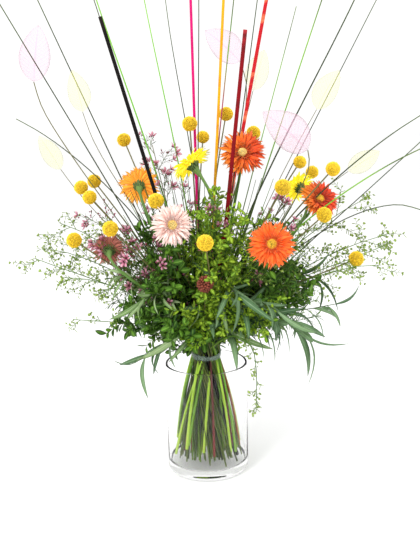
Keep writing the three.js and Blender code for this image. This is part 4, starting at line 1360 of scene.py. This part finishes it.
# %% [markdown]
# ## More stems in the bunch
# The fillers' stems run down through the tie as well, and fan out nearly to the wall of the vase. Some
# are lime or green, some dark, rust or maroon. Their cut ends stand unevenly over the glass floor.

# %% More stems
luck = random.Random(7)
MAROON_STEM = stalk("maroon stem", (0.0, "94342e"), (0.5, "6c2822"), (1.0, "4c3424"))
LIME_STEM = stalk("lime stem", (0.0, "c4e854"), (0.5, "b4e040"), (1.0, "84b030"), dark="c8c8b0")
FRESH_STEM = stalk("fresh stem", (0.0, "88b834"), (0.5, "6ca424"), (1.0, "5c8c24"), dark="c8c8b0")
KINDS = [
    (LIME_STEM, 0.0032), (DARK_STEM, 0.0015), (FRESH_STEM, 0.0026), (LIME_STEM, 0.0024), (RUST_STEM, 0.0024),
    (FRESH_STEM, 0.0018), (DARK_STEM, 0.0018), (LIME_STEM, 0.0028),
    (MAROON_STEM, 0.0022), (FRESH_STEM, 0.0022),
]
FILLER_STEMS, TIE_REACH, FOOT_REACH = 52, 0.0240, 0.0655
bundles = {}
for i in range(FILLER_STEMS):
    far, turn = math.sqrt((i + 0.5) / FILLER_STEMS), GOLDEN * i
    at = Vector((TIE_REACH * far * math.cos(turn), TIE_REACH * far * math.sin(turn), TIE_HEIGHT))
    turn -= luck.uniform(0.1, 1.0)
    foot = Vector((FOOT_REACH * far * math.cos(turn), FOOT_REACH * far * math.sin(turn),
                   FOOT_HEIGHT + luck.uniform(0.002, 0.030)))
    kind, thick = KINDS[i * 7 % len(KINDS)]
    bow = Vector((math.cos(turn), math.sin(turn), 0)) * 0.005 * far
    line = [(foot.lerp(at, k / 5) + bow * math.sin(math.pi * k / 5), thick * (1 - 0.03 * k), 0)
            for k in range(6)]
    line.append((at + (at - foot).normalized() * 0.02, thick * 0.8, 0))
    line.append((Vector((at.x * 1.05, at.y * 1.05, 0.285)), thick * 0.7, 0))
    bundles.setdefault(kind, []).append(line)
for kind, lines in bundles.items():
    made = tubes(kind.name.replace(" ", "_") + "_filler", lines, kind, Sides=10, Steps=10)
    piece(made, "bupleurum_green", "bupleurum")
print(sum(len(lines) for lines in bundles.values()), "more stems")

# %% [markdown]
# ## Glass, water and film
# The glass bends light and mirrors part of it. Real water bends light too; this water lets the view
# straight through, with a faint shine. The film of the tie is crinkled and partly see-through.

# %% Glass, water and film
def clear_glass(name, ior, mirror):
    """Glass that bends light and mirrors only a share of what real glass does. Scattered light goes
    straight through, so that the floor under it is lit."""
    material, g, skin = start(name, 0.0, Transmission_Weight=1.0, IOR=ior)
    bend = add(g, "ShaderNodeBsdfRefraction", {"Roughness": 0.0, "IOR": ior})
    for made in (skin.inputs["Base Color"], bend.inputs["Color"]):
        made.default_value = (1, 1, 1, 1)
    edge = out(add(g, "ShaderNodeFresnel", {"IOR": ior}))
    both = surface(g, maths(g, "MAXIMUM", edge, mirror), out(bend), skin.outputs[0])
    spread = out(add(g, "ShaderNodeLightPath"), "Is Diffuse Ray")
    surface(g, spread, both, out(add(g, "ShaderNodeBsdfTransparent")))
    ripple = noise(g, space(g, 1.0, 1.0, 0.4), 18.0, 1.0)
    bump = out(add(g, "ShaderNodeBump", {"Height": ripple, "Distance": 0.0006, "Strength": 0.4}))
    for made in (skin, bend):
        g.links.new(bump, made.inputs["Normal"])
    return material


def still_water(name, mirror):
    """Water that lets the view straight through, and shines a little where it is seen edge on."""
    material, g, skin = start(name, 0.03, Metallic=1.0)
    skin.inputs["Base Color"].default_value = paint("fafdfc")
    straight = out(add(g, "ShaderNodeBsdfTransparent", {"Color": (1, 1, 1, 1)}))
    shine = times(g, out(add(g, "ShaderNodeLayerWeight", {"Blend": 0.25}), "Facing"), mirror)
    surface(g, shine, straight, skin.outputs[0])
    return material


def tie_film(name, cover):
    """Crinkled film, partly see-through."""
    material, g, skin = start(name, 0.25, Specular_IOR_Level=0.5)
    finish(g, skin, mix(g, noise(g, space(g), 120.0), "5e7468", "98ac9e"),
           noise(g, space(g, 1, 1, 3), 220.0), 0.0008)
    surface(g, cover, out(add(g, "ShaderNodeBsdfTransparent")), skin.outputs[0])
    return material


GLASS = clear_glass("clear glass", 1.48, 0.24)
WATER = still_water("water", 0.16)
FILM = tie_film("tie film", 0.42)
print("glass, water and film ready")

# %% [markdown]
# ## Vase, water and tie
# The vase is one thick turned wall with a heavy base, a rounded heel and a fire-polished rim. It is
# turned again here, finer than in the CAD, so that the glass bends light smoothly. The water stands a
# hair inside the glass. The tie is one narrow band, not quite round.

# %% Vase, water and tie
def lathe(name, profile, material, steps=128):
    """Turns a profile of (radius, height) round Z. It starts and ends on the axis."""
    points, faces = [(0, 0, profile[0][1])], []
    for r, z in profile[1:-1]:
        points += [(r * math.cos(2 * math.pi * j / steps), r * math.sin(2 * math.pi * j / steps), z)
                   for j in range(steps)]
    points.append((0, 0, profile[-1][1]))
    rows = len(profile) - 2
    for j in range(steps):
        k = (j + 1) % steps
        faces.append((0, 1 + k, 1 + j))
        for i in range(rows - 1):
            a, b = 1 + i * steps, 1 + (i + 1) * steps
            faces.append((a + j, a + k, b + k, b + j))
        last = 1 + (rows - 1) * steps
        faces.append((last + j, last + k, len(points) - 1))
    mesh = bpy.data.meshes.new(name)
    mesh.from_pydata(points, [], faces)
    mesh.shade_smooth()
    return put(name, mesh, material)


def arc(r, z, size, first, last, steps=8):
    """Points on a round, from one angle to another, in degrees."""
    return [(r + size * math.cos(math.radians(first + (last - first) * i / steps)),
             z + size * math.sin(math.radians(first + (last - first) * i / steps)))
            for i in range(steps + 1)]


inner = VASE_RADIUS - GLASS_WALL
profile = [(0, 0), (0.03, 0), (VASE_RADIUS - HEEL_ROUND - 0.001, 0)]
profile += arc(VASE_RADIUS - HEEL_ROUND, HEEL_ROUND, HEEL_ROUND, -90, 0, 10)
profile += [(VASE_RADIUS, 0.010), (VASE_RADIUS, 0.1), (VASE_RADIUS, VASE_HEIGHT - 0.003)]
profile += arc(VASE_RADIUS - GLASS_WALL / 2, VASE_HEIGHT - 0.002, GLASS_WALL / 2, 0, 180, 10)
profile += [(inner, VASE_HEIGHT - 0.003), (inner, 0.1), (inner, GLASS_BASE + 0.007)]
profile += arc(inner - 0.006, GLASS_BASE + 0.006, 0.006, 0, -90, 8)[1:]
profile += [(inner - 0.008, GLASS_BASE), (0.03, GLASS_BASE), (0, GLASS_BASE)]
piece(lathe("glass_vase_looks", profile, GLASS), "vase_glass", "glass_vase")

wet, low, full = inner - HAIR, GLASS_BASE + HAIR, WATER_HEIGHT
level = [(0, low), (0.03, low), (wet - 0.0075, low)]
level += arc(wet - 0.006, low + 0.006, 0.006, -90, 0, 8)
level += [(wet, GLASS_BASE + 0.008), (wet, 0.08), (wet, full - 0.0006), (wet, full)]
level += [(wet - 0.0004, full + 0.0002), (wet - 0.0012, full + 0.0002), (0.03, full), (0, full)]
piece(lathe("water_looks", level, WATER), "water", "water")



def band(name, radius, width, thick, height, material, steps=120):
    """A narrow film wound round the bunch, a little slack at the front."""
    section = [(0.5, -0.5), (0.62, -0.25), (0.5, 0.0), (0.62, 0.25), (0.5, 0.5), (-0.5, 0.5), (-0.4, 0.0),
               (-0.5, -0.5)]
    points, faces, n = [], [], len(section)
    for i in range(steps):
        a = 2 * math.pi * i / steps
        r = radius * (1 + 0.018 * math.sin(5 * a) + 0.012 * math.sin(11 * a + 1))
        z = height + 0.0012 * math.sin(2 * a + 0.6) + 0.0020 * math.sin(a)
        w = width * (1 + 0.12 * math.sin(3 * a + 2))
        points += [((r + x * thick) * math.cos(a), (r + x * thick) * math.sin(a), z + y * w)
                   for x, y in section]
    for i in range(steps):
        for j in range(n):
            a, b = i * n, ((i + 1) % steps) * n
            k = (j + 1) % n
            faces.append((a + j, b + j, b + k, a + k))
    mesh = bpy.data.meshes.new(name)
    mesh.from_pydata(points, [], faces)
    mesh.shade_smooth()
    return put(name, mesh, material)


piece(band("tie_looks", BUNDLE_RADIUS + 0.0004, TIE_WIDTH, 0.0012, TIE_HEIGHT, FILM), "tie_film", "stem_tie")
print("vase", VASE_RADIUS * 2, "by", VASE_HEIGHT, "m, water to", WATER_HEIGHT, "m")

# %% [markdown]
# ## Floor, light and camera
# The object stands on a plain pale floor in soft white light from all round, with a large lamp above on
# the left and a weaker one on the right. The camera is 0.69 m up, 1.44 m in front, and looks slightly down.

# %% Floor, light and camera
floor_mesh = bpy.data.meshes.new("floor")
floor_mesh.from_pydata([(-6, -4, -HAIR), (6, -4, -HAIR), (6, 12, -HAIR), (-6, 12, -HAIR)], [], [(0, 1, 2, 3)])
FLOOR, _, floor_skin = start("pale floor", 0.7, Specular_IOR_Level=0.2)
floor_skin.inputs["Base Color"].default_value = (0.92, 0.92, 0.92, 1)
floor = put("floor", floor_mesh, FLOOR)
floor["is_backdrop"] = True

world = bpy.data.worlds.new("studio")
world.use_nodes = True
world.node_tree.nodes["Background"].inputs["Color"].default_value = (1, 1, 1, 1)
world.node_tree.nodes["Background"].inputs["Strength"].default_value = 1.1
bpy.context.scene.world = world


def lamp(name, at, aim, size, power):
    """A square soft lamp aimed at a point."""
    data = bpy.data.lights.new(name, "AREA")
    data.size, data.energy = size, power
    made = put(name, data)
    made.location = at
    made.rotation_euler = (Vector(aim) - Vector(at)).to_track_quat("-Z", "Y").to_euler()
    made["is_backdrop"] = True


lamp("key lamp", (-1.4, -1.8, 2.4), (0, 0, 0.35), 1.2, 60.0)
lamp("side lamp", (2.0, -1.0, 1.6), (0, 0, 0.35), 1.5, 20.0)

lens = bpy.data.cameras.new("camera")
lens.sensor_fit, lens.sensor_width, lens.lens = "AUTO", 36.0, 55.17
camera = put("camera", lens)
down, roll = 0.2092, -0.0222
eye = (0.0109, -1.4359, 0.6877)
camera.matrix_world = (Matrix.Translation(eye)
                       @ Matrix.Rotation(math.pi / 2 - down, 4, "X")
                       @ Matrix.Rotation(roll, 4, "Z"))
bpy.context.scene.camera = camera
bpy.context.scene.view_settings.view_transform = "Standard"
print("camera at", [round(v, 3) for v in camera.matrix_world.translation])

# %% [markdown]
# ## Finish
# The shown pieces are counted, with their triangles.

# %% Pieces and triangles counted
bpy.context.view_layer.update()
shown = list(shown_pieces())
counts = {o.name: sum(len(p.vertices) - 2 for p in o.data.polygons) for o in shown}
print(len(shown), "pieces,", sum(counts.values()), "triangles, most", max(counts.items(), key=lambda c: c[1]))
